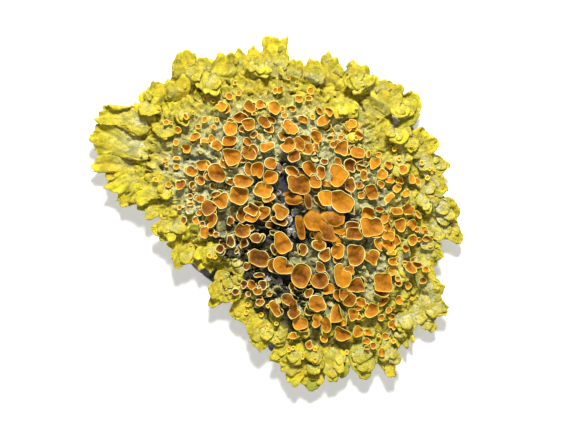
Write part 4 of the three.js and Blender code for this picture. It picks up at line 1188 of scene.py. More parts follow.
# %% Fruiting discs read from the photograph
DISCS = [
    (-8, 19.8, 1.2), (-9.05, 17.9, 1.9, 1.6, -20), (-16.65, 14.25, 1.3, 1.2), (-7.7, 14.4, 2.3, 2.1, -90),
    (-5.9, 16.85, 2.3, 1.6), (-4.3, 18.2, 2.1, 1.7, -45), (-2.7, 18.4, 1.5, 1.4), (-0.3, 17.5, 2.3, 2, -60),
    (0.75, 20.9, 1.4, 1.2, 90), (5.65, 20.9, 1.3, 1.25), (3.75, 19.5, 1.3, 1.2), (2.65, 18.4, 1.5, 1, -20),
    (4.65, 16.45, 1.8, 1.2, -10), (-2.1, 15.75, 2.2, 1.6, -35), (-0.6, 16.2, 1.8, 1, -40),
    (-4.9, 14.85, 2.2, 2.1), (-4.15, 13.5, 1.3, 1.2), (-1.2, 14.2, 1.5, 1.3), (1.7, 14, 3.1, 2, -35),
    (9.15, 17.5, 1.7, 1, -50), (8.3, 14.9, 2.3, 1.6, 25), (11.5, 14.55, 1.7, 1.1, 100),
    (12.75, 15.1, 1.8, 1.5), (14.3, 13.7, 1.6, 1.1, -50), (-15.4, 11.2, 1.7, 1.5, 90),
    (-13.8, 12.75, 1.6, 1.2, 20), (-10.9, 12.85, 1.3), (-12.1, 11.6, 1.5, 1), (-10, 11.3, 1.9, 1.7, 90),
    (-7.8, 12, 2.3, 2.1), (-7.6, 9.7, 3.3, 2.3, -50), (-7, 7.6, 1.7, 1, 10), (-14.35, 7.3, 1.9, 1.8),
    (-12.8, 8.1, 2.1, 1.6), (-10, 6.8, 3.2, 2.3, -40), (-12.7, 5.75, 1.5, 1.4), (-16.2, 5, 1.8, 1.6, 70),
    (-14.9, 4.6, 1.6, 1, 90), (-7.55, 5.6, 1.4, 1.3), (-4.9, 12, 1.5, 1.4), (-3.15, 11.15, 2.1, 1.2, -45),
    (-1.45, 10.5, 2.5, 1.5, 10), (-4.65, 10.1, 2.3, 2.2), (-3.3, 7.05, 2.6, 2.2, 80),
    (-1.35, 5.95, 2.4, 2.1), (-0.8, 8.3, 2.1, 1.9), (0.5, 7.6, 1.4, 1.2), (-5.7, 5.6, 3.2, 1.9),
    (0.4, 12.75, 1.7, 1.1, -60), (1.65, 11.6, 2.4, 2.3), (4.7, 13.2, 1.9, 1.3), (4, 11.7, 2.5, 1.7, -45),
    (5.5, 11, 1.9, 1.8), (2.6, 9.7, 2.1, 1.9, 80), (5.2, 9.4, 2.5, 1.1), (5.5, 7.5, 2.6, 2.1, -75),
    (3.2, 7.8, 2.2, 1.4, -35), (3.6, 4.9, 3.7, 3.2), (6.6, 5, 2, 1.8), (7.2, 13.2, 2.2, 1.4, -60),
    (7.3, 11.1, 1.8, 1.1, 90), (10.9, 11, 2.3, 2.2, 90), (12.5, 10.9, 1.6, 1, 90),
    (13.7, 10.1, 2.3, 1.7, -15), (10, 8.7, 1.6, 1.2, 90), (7.9, 6.9, 2, 1.6, 80), (10.3, 6.1, 3.4, 3.2, 90),
    (12.5, 8.1, 2.2, 2, -60), (14.75, 6.7, 1.7, 1.4, -50), (14.6, 8.2, 1.7, 1.1, -30),
    (17.1, 8.3, 2.1, 1.4, 50), (18.85, 8.1, 1.5, 1.1, -60), (17.9, 6.5, 1.7, 1.5),
    (17.5, 4.9, 1.5, 1.2, 90), (19.4, 5.1, 1.5, 1), (12.3, 4.9, 2.2, 1.8, 90), (13.9, 4.6, 1.4, 1.2, 80),
    (16.1, 3.9, 2.4, 2.1, -60), (21.4, 7.3, 1.6, 1.5), (22.4, 5.7, 1.6, 1.1, 100), (21, 5.5, 1.3, 1.1),
    (23.75, 5.35, 1.4, 1.1, -40), (20.6, 4.2, 1.4, 1.2), (21.8, 3.4, 1.5, 1.1, 30), (-13.1, 2.65, 1.4),
    (-15.6, -1.05, 1.2), (-11.6, 0.6, 2.5, 2.3), (-13.65, -1.15, 1.3, 1.1, -60),
    (-10.35, -1.3, 2.4, 1.5, 90), (-11.85, -3.1, 2, 1.6, 90), (-8.4, -4.6, 2, 1.3, -75),
    (-9.35, -5.85, 1.5, 1.4), (-8.4, -1.2, 1.5, 1, 80), (-7, 0.1, 2.8, 1.5, 85), (-10.2, 4, 1.5, 1),
    (-9.2, 2.5, 2.4, 2.2, 30), (-7, -2.3, 1.6, 1.1, 70), (-6.2, 3.2, 3, 2.8), (-4, 1.4, 2.5, 1.6, -30),
    (-4.2, -0.4, 2.6, 2.4, -30), (-2.3, 4, 2.9, 2.2, -20), (-1.6, 2.2, 2.2, 1.5), (-1.9, 0.2, 2.2, 1.9, 30),
    (0.9, 0.2, 2.5, 2, -50), (0.1, -1.5, 2.8, 1.5, -35), (0.5, -5, 3.4, 2.6, -60), (-2.9, -5, 2.3, 1.6, 15),
    (-4.5, -5.4, 1.9, 1.3, 70), (-5.7, -2.8, 2.6, 2.2), (3, 2.4, 2.7, 1.2), (5.2, 2, 2.4, 1, -80),
    (3.9, -2.3, 3.6, 1.2, -80), (6.2, -1.4, 2.9), (6.9, -3.5, 1.5, 1.2), (4.3, -6.2, 1.9, 1.5, 80),
    (8.1, 2.2, 2.8, 1.8, -60), (10.9, 2.3, 4, 3.3, -35), (14.2, 3.2, 1.3, 1.2), (13.6, 1.1, 2.2, 1, 85),
    (15.6, 0.9, 2.5, 1.7, -5), (17.7, 0.7, 1.4, 1.1, -30), (19.7, 2, 1.8, 1.2, 40), (16, -2.2, 3.3, 3.2),
    (18.6, -0.6, 2.2, 1, 80), (19.4, -2.2, 1.9, 1.1, 85), (20.9, -1.8, 2.1, 1.8, 75),
    (19.1, -3.9, 1.9, 1.7, -20), (20.9, -4.2, 2, 1.3, -70), (22.45, 0.9, 2, 1.9), (22.8, -2, 1.9, 1.4, 80),
    (24.7, -2.8, 1.3, 1.1, 10), (25.4, -3.7, 1.6, 1, -5), (23.1, -4.4, 1.6, 1.4, 90),
    (21.8, -5.7, 1.4, 1.1, -70), (9.7, -1.2, 3, 2.3, -15), (8.9, -3.5, 2.8, 2, -50), (12.9, -1.7, 2.4, 1.4),
    (12.9, -3.4, 2.8, 1.9), (11.1, -3.3, 1.4, 1.1, 60), (10.2, -4.9, 1.3, 1.1), (7, -5.5, 2.2, 1.6, -10),
    (-3, -7.5, 3.5, 2.6, -8), (-1.1, -6.3, 1.6, 1.1, -65), (-5.3, -7.4, 1.6, 1, 90), (-5, -8.9, 1.4, 1.2),
    (-5.5, -11.9, 1.3, 1.2, 60), (-4.1, -12.1, 1.6, 1.4, 90), (-2.3, -12.1, 1.6, 1.3, 90),
    (-3.2, -13.4, 1.5), (-2.95, -14.8, 1.4, 1.3), (-7.2, -13.1, 1.3, 1.2), (0.9, -8.8, 3.4, 3, -35),
    (8.3, -7, 2.1, 1.8, 30), (10.3, -6.7, 2.4, 2.2, 80), (13.2, -6.8, 3.2, 2.9, 90),
    (4.3, -10.2, 3.6, 2.9, 85), (7.3, -9.3, 2, 1.6, 90), (7.4, -11.4, 2.8, 2.6),
    (10.4, -10.7, 3.8, 2.2, -75), (11.1, -13.5, 2.2, 1.8, -80), (9, -13.3, 2.2, 1.4, 25),
    (5.4, -13.4, 1.6, 1.2, 50), (3.6, -13.1, 1.8, 1.2, -20), (2.1, -14.4, 2.4, 1.7, -30),
    (0.2, -15.8, 2.6, 1.4, -60), (3, -16.8, 2.4, 2, -70), (4.1, -18.6, 2.3, 2.1, 90),
    (6.7, -15.3, 2.9, 2.4), (12.4, -14.7, 2.2, 2, 40), (11, -17.2, 3.2, 1.7, 80), (12.4, -9.4, 2, 1.5, 80),
    (15.7, -7.7, 2.8, 2, -25), (16.9, -5.4, 2.2, 1.1, -60), (18.6, -5.9, 2.1, 1.5, -35),
    (19.6, -8.1, 1.7, 1.3, -10), (19.4, -9.8, 1.5, 1.2, 90), (22.2, -9.6, 2, 1.4, -60),
    (23.8, -8.2, 1.6, 1.1, -5), (22.4, -12.1, 1.3, 1.1, -60), (25.4, -9.8, 1.3, 1.2),
    (24.9, -11.2, 1.3, 1.2), (20.8, -14.6, 1.7, 1.4, -30), (17.9, -11.8, 3.2, 2.8, -75),
    (17.5, -14.2, 2.6, 1.4), (13.4, -12, 2.6, 2.4), (15, -11.4, 1.7, 1.2, -60),
    (14.5, -14.6, 1.7, 1.2, -30), (16.4, -16.3, 2.3, 2.1, 40), (7, -18.3, 2, 1.5, 80),
    (8.9, -18.7, 2.4, 1.6, 90), (12.8, -17, 2, 1.8), (11.3, -20, 2.7, 2, -30), (13.6, -20, 1.9, 1.6, 40),
    (15.6, -20.2, 1.4, 1.1, -10), (15.4, -21.5, 1.4, 1.1), (17.9, -23.4, 1.5, 1.3, 80),
    (18.5, -20.7, 1.4, 1.1, 90), (19.6, -17.3, 1.3, 1.2), (19.7, -19, 1.7, 1.4, 90), (3.1, -20.7, 1.5, 1.2),
    (5.35, -22.3, 1.5, 1.4), (8, -21.4, 1.5, 1.3, 90), (7.9, -2.2, 2.4, 1.5, -60),
    (8.2, -0.6, 2.2, 1.5, 20), (7.4, -3.9, 1.9, 1.2, -70), (9.6, -4.2, 2.2, 1.1, -35),
    (10.6, -2.6, 2.2, 1.1, -20),
]
SMALL_DISCS = [
    (-6.35, 20.3, 0.95), (-6.95, 22.15, 0.8), (-9.6, 20.8, 0.5), (-12.3, 19.6, 0.8), (-10.85, 19.1, 0.8),
    (-12.25, 15.85, 1.2, 0.9, 60), (-13.15, 14.75, 0.95), (-10.2, 15.8, 0.8), (-10.65, 14.55, 0.9),
    (-18.75, 15.3, 1), (-17.9, 15.15, 0.6), (-15.55, 16.2, 1.2, 0.6, -60), (-14.15, 17.1, 0.5),
    (0.95, 17.5, 1), (-0.35, 20.9, 1.15, 0.85, 90), (5.45, 19.5, 1.2, 0.9), (6.1, 16.3, 1, 0.8, 100),
    (-3.7, 16.8, 0.8, 0.6), (1.45, 16.5, 1, 0.9), (-5.9, 14.2, 1), (3.2, 13.4, 1.2, 1), (2.1, 23, 0.7),
    (3.65, 22.35, 0.6), (7.65, 17.7, 1.3, 0.9, -55), (6.85, 17.8, 1, 0.9), (9.15, 13.3, 1.2, 0.8),
    (9.8, 14.2, 1.6, 0.5, -60), (13.4, 17.65, 0.5), (9.9, 20.2, 0.5), (17.3, 16.4, 0.5),
    (-18.65, 12.8, 0.5), (-16.9, 11.95, 1.2, 0.9, 90), (-12.05, 12.3, 1.5, 0.7, -10), (-12.8, 10.45, 0.6),
    (-18.7, 9, 0.8), (-18.6, 8.2, 0.7), (-16.95, 9.05, 1.1, 0.6), (-17.1, 8, 1), (-11.5, 6.2, 1.3, 1.1, 70),
    (-10.5, 5.5, 1.1, 0.5, 70), (-11.55, 4.6, 1.2, 0.8, 90), (-18.2, 4.9, 1), (-9.55, 9.4, 1.1, 0.5, 90),
    (-3.3, 12.5, 1.3, 0.6, -50), (-5.6, 8.8, 1.1, 0.9), (10.9, 12.85, 1), (9.55, 11.7, 1.1),
    (13.4, 12.7, 0.8), (8.2, 8.85, 1.3, 1), (16.15, 9.9, 1.2, 0.8, 90), (17.2, 9.9, 1.1, 0.9),
    (16.1, 8.95, 0.9, 0.5), (-14.65, 3.1, 0.9), (-14.6, 1.9, 1.1, 0.6, 10), (-16.4, 1, 0.9),
    (-12.35, -1.65, 1, 0.8, 10), (-13, 0, 1.1), (-10.4, -3.5, 1.1, 0.9), (-8.6, 0.6, 1.5, 0.8, 50),
    (-4.1, -2.2, 1.2), (-0.3, -2.6, 1.8, 0.9), (2.6, 3, 2.7, 0.7), (3.2, 2.2, 2.7, 0.9),
    (8.4, 4.2, 2.4, 0.8, -20), (3.2, -6.3, 1.8, 0.9, -75), (20.2, -0.1, 2.2, 1.1, -5), (23.8, -2.8, 0.9),
    (24.3, -4.4, 0.8), (24.4, 0, 1.6, 0.6, -55), (-3, -9.8, 1.8, 0.8), (-1.2, -13.4, 0.9),
    (-4.6, -13.7, 0.9, 0.8, -60), (-7.3, -5.9, 1, 0.7, 45), (-7.7, -13.2, 0.5), (7, -13.3, 1, 0.6),
    (2.2, -12.5, 1.3, 0.9, 90), (5.5, -16.4, 1.8, 1, -30), (17, -7.9, 1.6, 1.1, -70),
    (19.5, -7.1, 1.5, 0.9), (20.6, -10.9, 0.9), (20.8, -12.3, 1.3, 0.7), (23.2, -9, 1.1, 0.7),
    (21.8, -8.1, 1.2, 0.5), (13.8, -15.5, 1.4, 1), (15.3, -15.5, 1.1), (19.1, -16.5, 1.1), (14.2, -17.6, 1),
    (15.3, -22.5, 1, 0.8), (16.5, -22.3, 1.1), (18, -17.5, 1.1),
]
RINGS = [
    (-2.6, -17.3, 0.9), (-4.95, -15.4, 0.9), (-1.4, -15.7, 0.8), (-5, -16.8, 0.9), (-1.6, -19.2, 0.8),
    (-1.5, -19.7, 0.6), (0, -18.6, 0.8), (2.9, -22.7, 0.8), (2.2, -23, 0.9), (2.5, -21.6, 0.6),
    (4.35, -24.3, 0.7), (6.6, -24.7, 0.9), (6.6, -23.1, 0.7), (12, -23.7, 0.85), (12.3, -21.6, 0.5),
    (19.8, -21.7, 0.9), (17.3, -20.8, 0.7), (0.1, -21.7, 0.5), (26.1, -5.4, 0.7), (23.1, -14.6, 0.6),
    (24, -14.1, 0.4), (-11.5, -7.1, 1), (-10.3, -7.2, 0.8), (-20.4, 5.6, 1), (-14.6, -5.2, 0.5),
    (-8.4, -13.35, 0.6), (-8.4, -12.85, 0.4), (-9.3, -11, 0.5), (-7.5, -14.8, 0.5), (25.55, 6, 0.9),
    (25.95, 7.5, 0.6), (26.3, 6.85, 0.5), (26.7, 7.3, 0.5), (24.6, 8.6, 0.9), (22.8, 11.4, 0.5),
    (20.75, 9.3, 0.8), (20.5, 11.4, 0.7), (19.9, 10.9, 0.9), (19.4, 11.4, 0.5), (-22.9, 9.85, 0.4),
    (-22.1, 16.9, 0.5), (-19.9, 17.8, 0.5),
]


def full_row(x, y, long, wide=None, turn=0):
    return x, y, long, wide or long, turn


DISCS, SMALL_DISCS, RINGS = [[full_row(*row) for row in rows] for rows in (DISCS, SMALL_DISCS, RINGS)]
ALL_DISCS = DISCS + SMALL_DISCS
print(len(DISCS), "discs,", len(SMALL_DISCS), "small ones and", len(RINGS), "rings")

# %% [markdown]
# Between the fruiting discs stand little scales, grey-green with a pale lip. They turn every way,
# and lie flat where a disc covers them. Along the crevices the skin is torn, and white shreds of its
# inner layer curl up there. Both are small lobes, grown by the same function as the large ones.

# %% Scales and shreds
SCALE_COUNT = 680
SCALE_MIDDLE = (3, -1)
SCALE_REACH = 19
SCALES_INSIDE = 0.7
SHRED_SPACING = 0.9
SHREDS_SKIPPED = 0.35
TORN_CREVICES = CREVICES[:4]
scale_random = random.Random(97)


def pale_lipped(made, bm, dark):
    """Colours a small lobe as old skin, with painted shade at its root and a painted highlight on its pale
    lip; dark is how much painted shade of the deep middle it stands in.
    """
    age, painted_shading, middle_shade_share = [bm.verts.layers.float[name] for name in ("age", "painted_shading", "painted_middle_shade")]
    for point in made:
        fresh = 1 - point[age] / SMALL_ROOT_AGE
        point[age] = 1
        point[painted_shading] = 0.7 - 1.7 * smooth_step(0.4, 0.9, fresh)
        point[middle_shade_share] = dark * (1 - 0.7 * fresh ** 3)


def under_disc(x, y):
    return any(math.hypot(x - dx, y - dy) < 0.31 * (long + wide) for dx, dy, long, wide, _ in ALL_DISCS)


def scatter_scales(rng):
    bm = lobe_bmesh()
    for number in range(SCALE_COUNT):
        turn, reach = rng.uniform(0, math.tau), SCALE_REACH * math.sqrt(rng.random())
        x, y = SCALE_MIDDLE[0] + reach * math.cos(turn), SCALE_MIDDLE[1] + reach * math.sin(turn)
        facing, long = rng.uniform(0, math.tau), rng.uniform(0.7, 1.4)
        outside = math.hypot(x, y) > SCALES_INSIDE * reach_at(FLOOR_REACH, x, y)
        if outside or openness(x, y) > 0.3 or under_disc(x, y):
            continue
        tip = (x + 0.8 * long * math.cos(facing), y + 0.8 * long * math.sin(facing))
        up = (0.0, 0.1) if under_disc(*tip) else (0.1, rng.uniform(0.35, 0.95))
        edge = ear(x, y, facing, long, rng)
        made = grow_lobe(bm, (x, y), up, edge, 3.1 * number, floor_only, step=SMALL_STEP)
        pale_lipped(made, bm, painted_middle_shade(x, y))
    return bm


def line_up_shreds(rng):
    bm = lobe_bmesh()
    for line, width in TORN_CREVICES:
        spots = smooth_line(line, round(line_length(line) / SHRED_SPACING))[0]
        for spot, following in zip(spots, spots[1:]):
            along = (following - spot).normalized()
            for side in (-1, 1):
                if rng.random() < SHREDS_SKIPPED:
                    continue
                out = side * width * rng.uniform(0.7, 1.3)
                x, y = spot.x - out * along.y, spot.y + out * along.x
                facing = math.atan2(-side * along.x, side * along.y) + rng.uniform(-1.2, 1.2)
                up = (0.1, rng.uniform(0.2, 0.9))
                edge = ear(x, y, facing, rng.uniform(0.4, 1.5), rng)
                grow_lobe(bm, (x, y), up, edge, 7.7 * len(bm.faces), over_bark)
    return bm


scales = scatter_scales(scale_random)
shreds = line_up_shreds(scale_random)
thicken(finish_piece("scales", scales, [SKIN, UNDERSIDE, SKIN], "thallus"), THIN_SKIN)
thicken(finish_piece("shreds", shreds, [SHRED, SHRED, SHRED], "thallus"), SHRED_THICKNESS)

# %% [markdown]
# The large discs are rarely round: crowding gives them corners and notches. Those that show most
# have an entry here. corners is a count, a direction in degrees and an amount; notch is a direction,
# a depth and a width. The domed discs are old ones that have swollen and lost their rims, the deep
# ones are still cups, and the brown ones are brown: some have darkened with age, and on others the
# shade of their neighbours is painted as brown.

# %% Shapes of the discs that show most
SHAPED = {
    (3.6, 4.9): dict(corners=(4, 45, 0.09), notch=(100, 0.35, 0.3)),
    (10.3, 6.1): dict(corners=(3, -90, 0.07), notch=(85, 0.3, 0.35)),
    (10.9, 2.3): dict(corners=(3, 35, 0.1), notch=(-75, 0.12, 0.5)),
    (16, -2.2): dict(corners=(4, 45, 0.08), notch=(95, 0.12, 0.4)),
    (9.7, -1.2): dict(corners=(3, 70, 0.12), notch=(-40, 0.25, 0.35)),
    (8.9, -3.5): dict(corners=(4, 10, 0.12), notch=(200, 0.25, 0.4)),
    (-6.2, 3.2): dict(corners=(4, 30, 0.1)),
    (-2.3, 4): dict(corners=(4, 40, 0.12)),
    (17.9, -11.8): dict(corners=(4, 40, 0.1), notch=(75, 0.1, 0.4)),
    (-4.9, 14.85): dict(corners=(4, 45, 0.08)),
    (0.9, 0.2): dict(corners=(3, 60, 0.16)),
    (10.9, 11): dict(corners=(3, 90, 0.13)),
    (4.1, -18.6): dict(corners=(3, -90, 0.13)),
    (8.3, -7): dict(corners=(3, 30, 0.12)),
    (20.9, -1.8): dict(corners=(3, 90, 0.1)),
    (11.3, -20): dict(corners=(3, 150, 0.14)),
    (-2.1, 15.75): dict(notch=(60, 0.3, 0.5)),
    (4, 11.7): dict(notch=(45, 0.25, 0.5)),
    (13.7, 10.1): dict(notch=(80, 0.15, 0.6)),
    (2.1, -14.4): dict(notch=(60, 0.3, 0.5)),
    (0.9, -8.8): dict(notch=(70, 0.62, 0.3)),
    (13.4, -12): dict(corners=(3, 80, 0.12), notch=(-60, 0.2, 0.3)),
    (13.2, -6.8): dict(corners=(3, -80, 0.05), notch=(125, 0.2, 0.25)),
    (4.3, -10.2): dict(corners=(3, 150, 0.06)),
    (7.4, -11.4): dict(corners=(3, -60, 0.09), notch=(150, 0.2, 0.3)),
    (-9.2, 2.5): dict(corners=(3, 20, 0.2)),
    (-7.6, 9.7): dict(corners=(3, 60, 0.12)),
    (-10, 6.8): dict(corners=(3, 130, 0.12)),
    (-5.7, 5.6): dict(corners=(4, 0, 0.08)),
    (-3, -7.5): dict(corners=(4, 30, 0.06), notch=(95, 0.2, 0.4)),
    (0.5, -5): dict(corners=(3, -60, 0.14)),
    (12.9, -3.4): dict(corners=(3, 90, 0.12)),
    (6.7, -15.3): dict(corners=(3, 90, 0.06), notch=(-60, 0.14, 0.25)),
}
DOMED = {
    (6.2, -1.4), (9.7, -1.2), (8.9, -3.5), (7.9, -2.2), (8.2, -0.6), (7.4, -3.9), (9.6, -4.2), (10.6, -2.6),
    (2.6, 3), (3.2, 2.2), (3, 2.4), (5.2, 2), (3.9, -2.3),
}
DEEP = {(-3.3, 7.05), (-1.35, 5.95), (12.5, 8.1), (7.9, 6.9), (15.6, 0.9)}
BROWN_AND_SHADED = {
    (-0.6, 16.2), (-4.15, 13.5), (12.5, 10.9), (14.6, 8.2), (12.3, 4.9), (-15.6, -1.05), (-11.6, 0.6),
    (-8.4, -1.2), (0.1, -1.5), (5.2, 2), (13.6, 1.1), (19.4, -2.2), (12.9, -1.7), (-9.35, -5.85),
    (-2.3, -12.1), (3.6, -13.1), (12.4, -14.7), (17.5, -14.2), (15, -11.4), (15.7, -7.7), (23.8, -8.2),
    (24.9, -11.2), (-7.2, -13.1), (9.15, 13.3), (-3.7, 16.8), (-5.9, 14.2), (-11.55, 4.6), (-5.6, 8.8),
    (8.2, 8.85), (-14.65, 3.1), (-4.1, -2.2), (24.3, -4.4), (13.8, -15.5), (5.5, -16.4),
}
print(len(SHAPED), "discs have a shape of their own,", len(DOMED), "are domed and", len(BROWN_AND_SHADED), "brown_and_shaded")

# %% [markdown]
# A disc is turned, like a cup on a lathe: a half section of points is spun round the upright axis,
# and the points on the axis are merged. The section starts at the root, climbs the flaring wall,
# goes over the rounded rim and down into the hollow. Three cups are turned, with more sides for
# larger discs. Each disc then bends a copy, which keeps the faces of hundreds of discs few and even.

# %% Turn the cups
ROOT_SINK = 0.9
SECTION_RIM = 0.2
SECTION_DEPTH = 0.3


def cup_section(radius, height, depth, rim, fine):
    """Radius, height, part and heart of each point of a half section, from the root to the middle."""
    inner = radius - rim - 0.03
    wall = [(0, -ROOT_SINK), (0.42 * radius, -ROOT_SINK), (0.46 * radius, 0.05 * height)]
    wall += [(0.6 * radius, 0.4 * height), (0.8 * radius, 0.7 * height)] if fine else []
    wall += [(0.94 * radius, 0.88 * height)]
    section = [(r, z, 0, 0) for r, z in wall]
    section += [(radius, 0.97 * height, 0.25, 0), (radius - 0.35 * rim, height + 0.03, 0.5, 0)]
    section += [(radius - rim, height, 0.5, 0), (inner, height - 0.1, 1, 0)]
    for share in (0.85, 0.65, 0.45, 0.22, 0) if fine else (0.6, 0):
        section.append((share * inner, height - 0.09 - depth * (1 - share * share), 1, 1 - share))
    return section


def turned_cup(name, sides, fine):
    """A mesh of a cup of radius 1; each point knows its place along the section."""
    bm = bmesh.new()
    station = bm.verts.layers.int.new("station")
    line = []
    for number, (r, z, _, _) in enumerate(cup_section(1, 1, SECTION_DEPTH, SECTION_RIM, fine)):
        line.append(bm.verts.new((r, 0, z)))
        line[-1][station] = number
    edges = [bm.edges.new(pair) for pair in zip(line, line[1:])]
    bmesh.ops.spin(
        bm, geom=line + edges, cent=(0, 0, 0), axis=(0, 0, 1), dvec=(0, 0, 0),
        angle=math.tau, steps=sides, use_merge=True, use_duplicate=False,
    )
    bmesh.ops.remove_doubles(bm, verts=bm.verts, dist=1e-5)
    bmesh.ops.recalc_face_normals(bm, faces=bm.faces)
    mesh = bpy.data.meshes.new(name)
    bm.to_mesh(mesh)
    bm.free()
    print(f"{name}: {sides} sides, {len(mesh.polygons)} faces")
    return mesh, fine


CUPS = {
    "big": turned_cup("big_cup", 32, True),
    "middling": turned_cup("middling_cup", 22, True),
    "small": turned_cup("small_cup", 14, False),
}

# %% [markdown]
# The outline of a disc is an ellipse with gentle random waves, and with the corners and the notch
# of its entry. Real discs grow until they meet, and then flatten against each other, so an outline
# is also pressed in, softly, where a neighbour stands. The line between two neighbours lies nearer
# to the smaller one. Sometimes it is moved out, and the two overlap.

# %% Outline of a disc
PRESS_SOFTNESS = 0.3
PRESS_LEAST = 0.76
NEAR_ENOUGH = 1.0
OVERLAPS = (0.0, 0.05, 0.4)


def outline_share(angle, waves, shape, narrow):
    """How far the outline reaches at an angle, against the plain ellipse."""
    power = 2 + 1.8 * (1 - narrow)
    share = (abs(math.cos(angle)) ** power + abs(math.sin(angle)) ** power) ** (-1 / power)
    share += sum(size * math.cos(count * angle + start) for count, size, start in waves)
    if "corners" in shape:
        count, direction, amount = shape["corners"]
        share += amount * math.cos(count * (angle - math.radians(direction)))
    if "notch" in shape:
        direction, depth, width = shape["notch"]
        away = (angle - math.radians(direction) + math.pi) % math.tau - math.pi
        share -= depth * math.exp(-(away / width) ** 2)
    return share


def pressing(row, rng):
    """How many neighbours crowd a disc, and the direction and distance of the line where each presses."""
    x, y, long, wide, turn = row
    radius = (long + wide) / 4
    lines = []
    for nx, ny, nlong, nwide, _ in ALL_DISCS:
        away, other = math.hypot(nx - x, ny - y), (nlong + nwide) / 4
        if max(radius, other) < away < radius + other + NEAR_ENOUGH:
            wall = away * radius / (radius + other) + rng.choice(OVERLAPS)
            lines.append((math.atan2(ny - y, nx - x) - math.radians(turn), wall))
    return len(lines), lines


def pressed_reach(reach, angle, lines):
    """The reach of an outline at an angle, flattened softly where neighbours press."""
    least = PRESS_LEAST * reach
    for direction, wall in lines:
        facing = math.cos(angle - direction)
        if facing > 0.1:
            limit = wall / facing
            near = max(0, PRESS_SOFTNESS - abs(reach - limit)) / PRESS_SOFTNESS
            reach = min(reach, limit) - near * near * PRESS_SOFTNESS / 4
    return max(reach, least)


print("the lines of three neighbours press a disc to",
      round(pressed_reach(1.2, 0, [(0, 1), (0.5, 1), (-0.5, 1)]), 2), "of 1.2 mm")

# %% [markdown]
# Everything that is chosen once for a disc is collected before its cup is bent. A disc that looks
# narrow from above is partly seen from the side, so it is made rounder and tipped more. Discs in the
# old core stand higher. Each stands on the ground that is looked up under its wall. By chance, a
# disc has a crease or is folded like a flatbread. The domed and the shaped ones are seen best, and
# keep the form that was read.

# %% Choices for one disc
DISC_GROWTH = 1.02
CROWD_GROWTH = 0.035
DOMED_GROWTH = 1.16
RIM_WIDTH = 0.11
CORE_RISE = 0.4
NOTCHED_SHARE = 0.35
CURLED_NOTCH = 0.5
NARROWEST_UPRIGHT = 0.72
TILT = 6
WAVINESS = 0.2
RIPPLE = 0.14
CREASE = 0.42
FEET = [(0.6 * math.cos(step * math.pi / 4), 0.6 * math.sin(step * math.pi / 4)) for step in range(8)]


def own_shape(place, rng):
    """The corners and notch of a disc. By chance, one without an entry gets a notch."""
    if place in SHAPED or place in DOMED or rng.random() >= NOTCHED_SHARE:
        return SHAPED.get(place, {})
    return dict(notch=(rng.uniform(0, 360), rng.uniform(0.2, 0.45), rng.uniform(0.2, 0.45)))


def choose_section(disc, fine, rng):
    """The height, the hollow and the rim, as a half section for the turned cup."""
    disc.height = 0.45 + 0.58 * disc.radius + 0.4 * rng.random()
    disc.height += CORE_RISE * (1 - smooth_step(11, 16, math.hypot(disc.x, disc.y)))
    deep = (disc.x, disc.y) in DEEP
    depth = disc.radius * (0.75 if deep else -0.3 if disc.domed else rng.uniform(0.14, 0.36))
    disc.rim = (0.42 * disc.radius if disc.ring else RIM_WIDTH) * (0.85 + 0.3 * rng.random())
    disc.rim *= 0.45 if disc.domed else 1
    disc.height *= 0.75 if disc.ring else 0.62 if disc.low else 1
    disc.section = cup_section(disc.radius, disc.height, depth, min(disc.rim, 0.5 * disc.radius), fine)


def choose_stance(disc, turn, lean, rng):
    """How the disc is turned, tipped and set down."""
    tip = rng.choice((-1, 1)) * lean + math.radians(rng.gauss(0, TILT))
    stance = Euler((tip, math.radians(rng.gauss(0, TILT)), math.radians(turn)))
    feet = [ground_at(disc.x + disc.radius * dx, disc.y + disc.radius * dy) for dx, dy in FEET]
    ground = min(max(feet) - 0.15, ground_at(disc.x, disc.y) + 0.7)
    disc.place = Matrix.Translation((disc.x, disc.y, ground)) @ stance.to_matrix().to_4x4()


def choose_colour(disc, rng):
    """The values that are the same all over the disc."""
    # Some listed brown discs are brown with age; on others the shade of their neighbours is painted as
    # brown.
    brown_and_shaded = (disc.x, disc.y) in BROWN_AND_SHADED
    browning_and_shade = 0.72 if brown_and_shaded else min(0.8, max(0.1, rng.gauss(0.44, 0.16)))
    dark = painted_middle_shade(disc.x, disc.y)
    fresh = 1 if disc.ring else 0.8 * smooth_step(13, 20, math.hypot(disc.x, disc.y))
    # Painted shade: discs in the deep middle and discs that lie low under others turn browner.
    browning_and_shade = -0.2 if disc.ring else browning_and_shade + 0.2 * dark + (0.2 if disc.low else 0) - 0.2 * fresh
    disc.colours = dict(browning_and_shade=browning_and_shade, painted_middle_shade=dark, fresh=fresh)


def unit(turn):
    """A direction in the plane."""
    return Vector((math.cos(turn), math.sin(turn)))


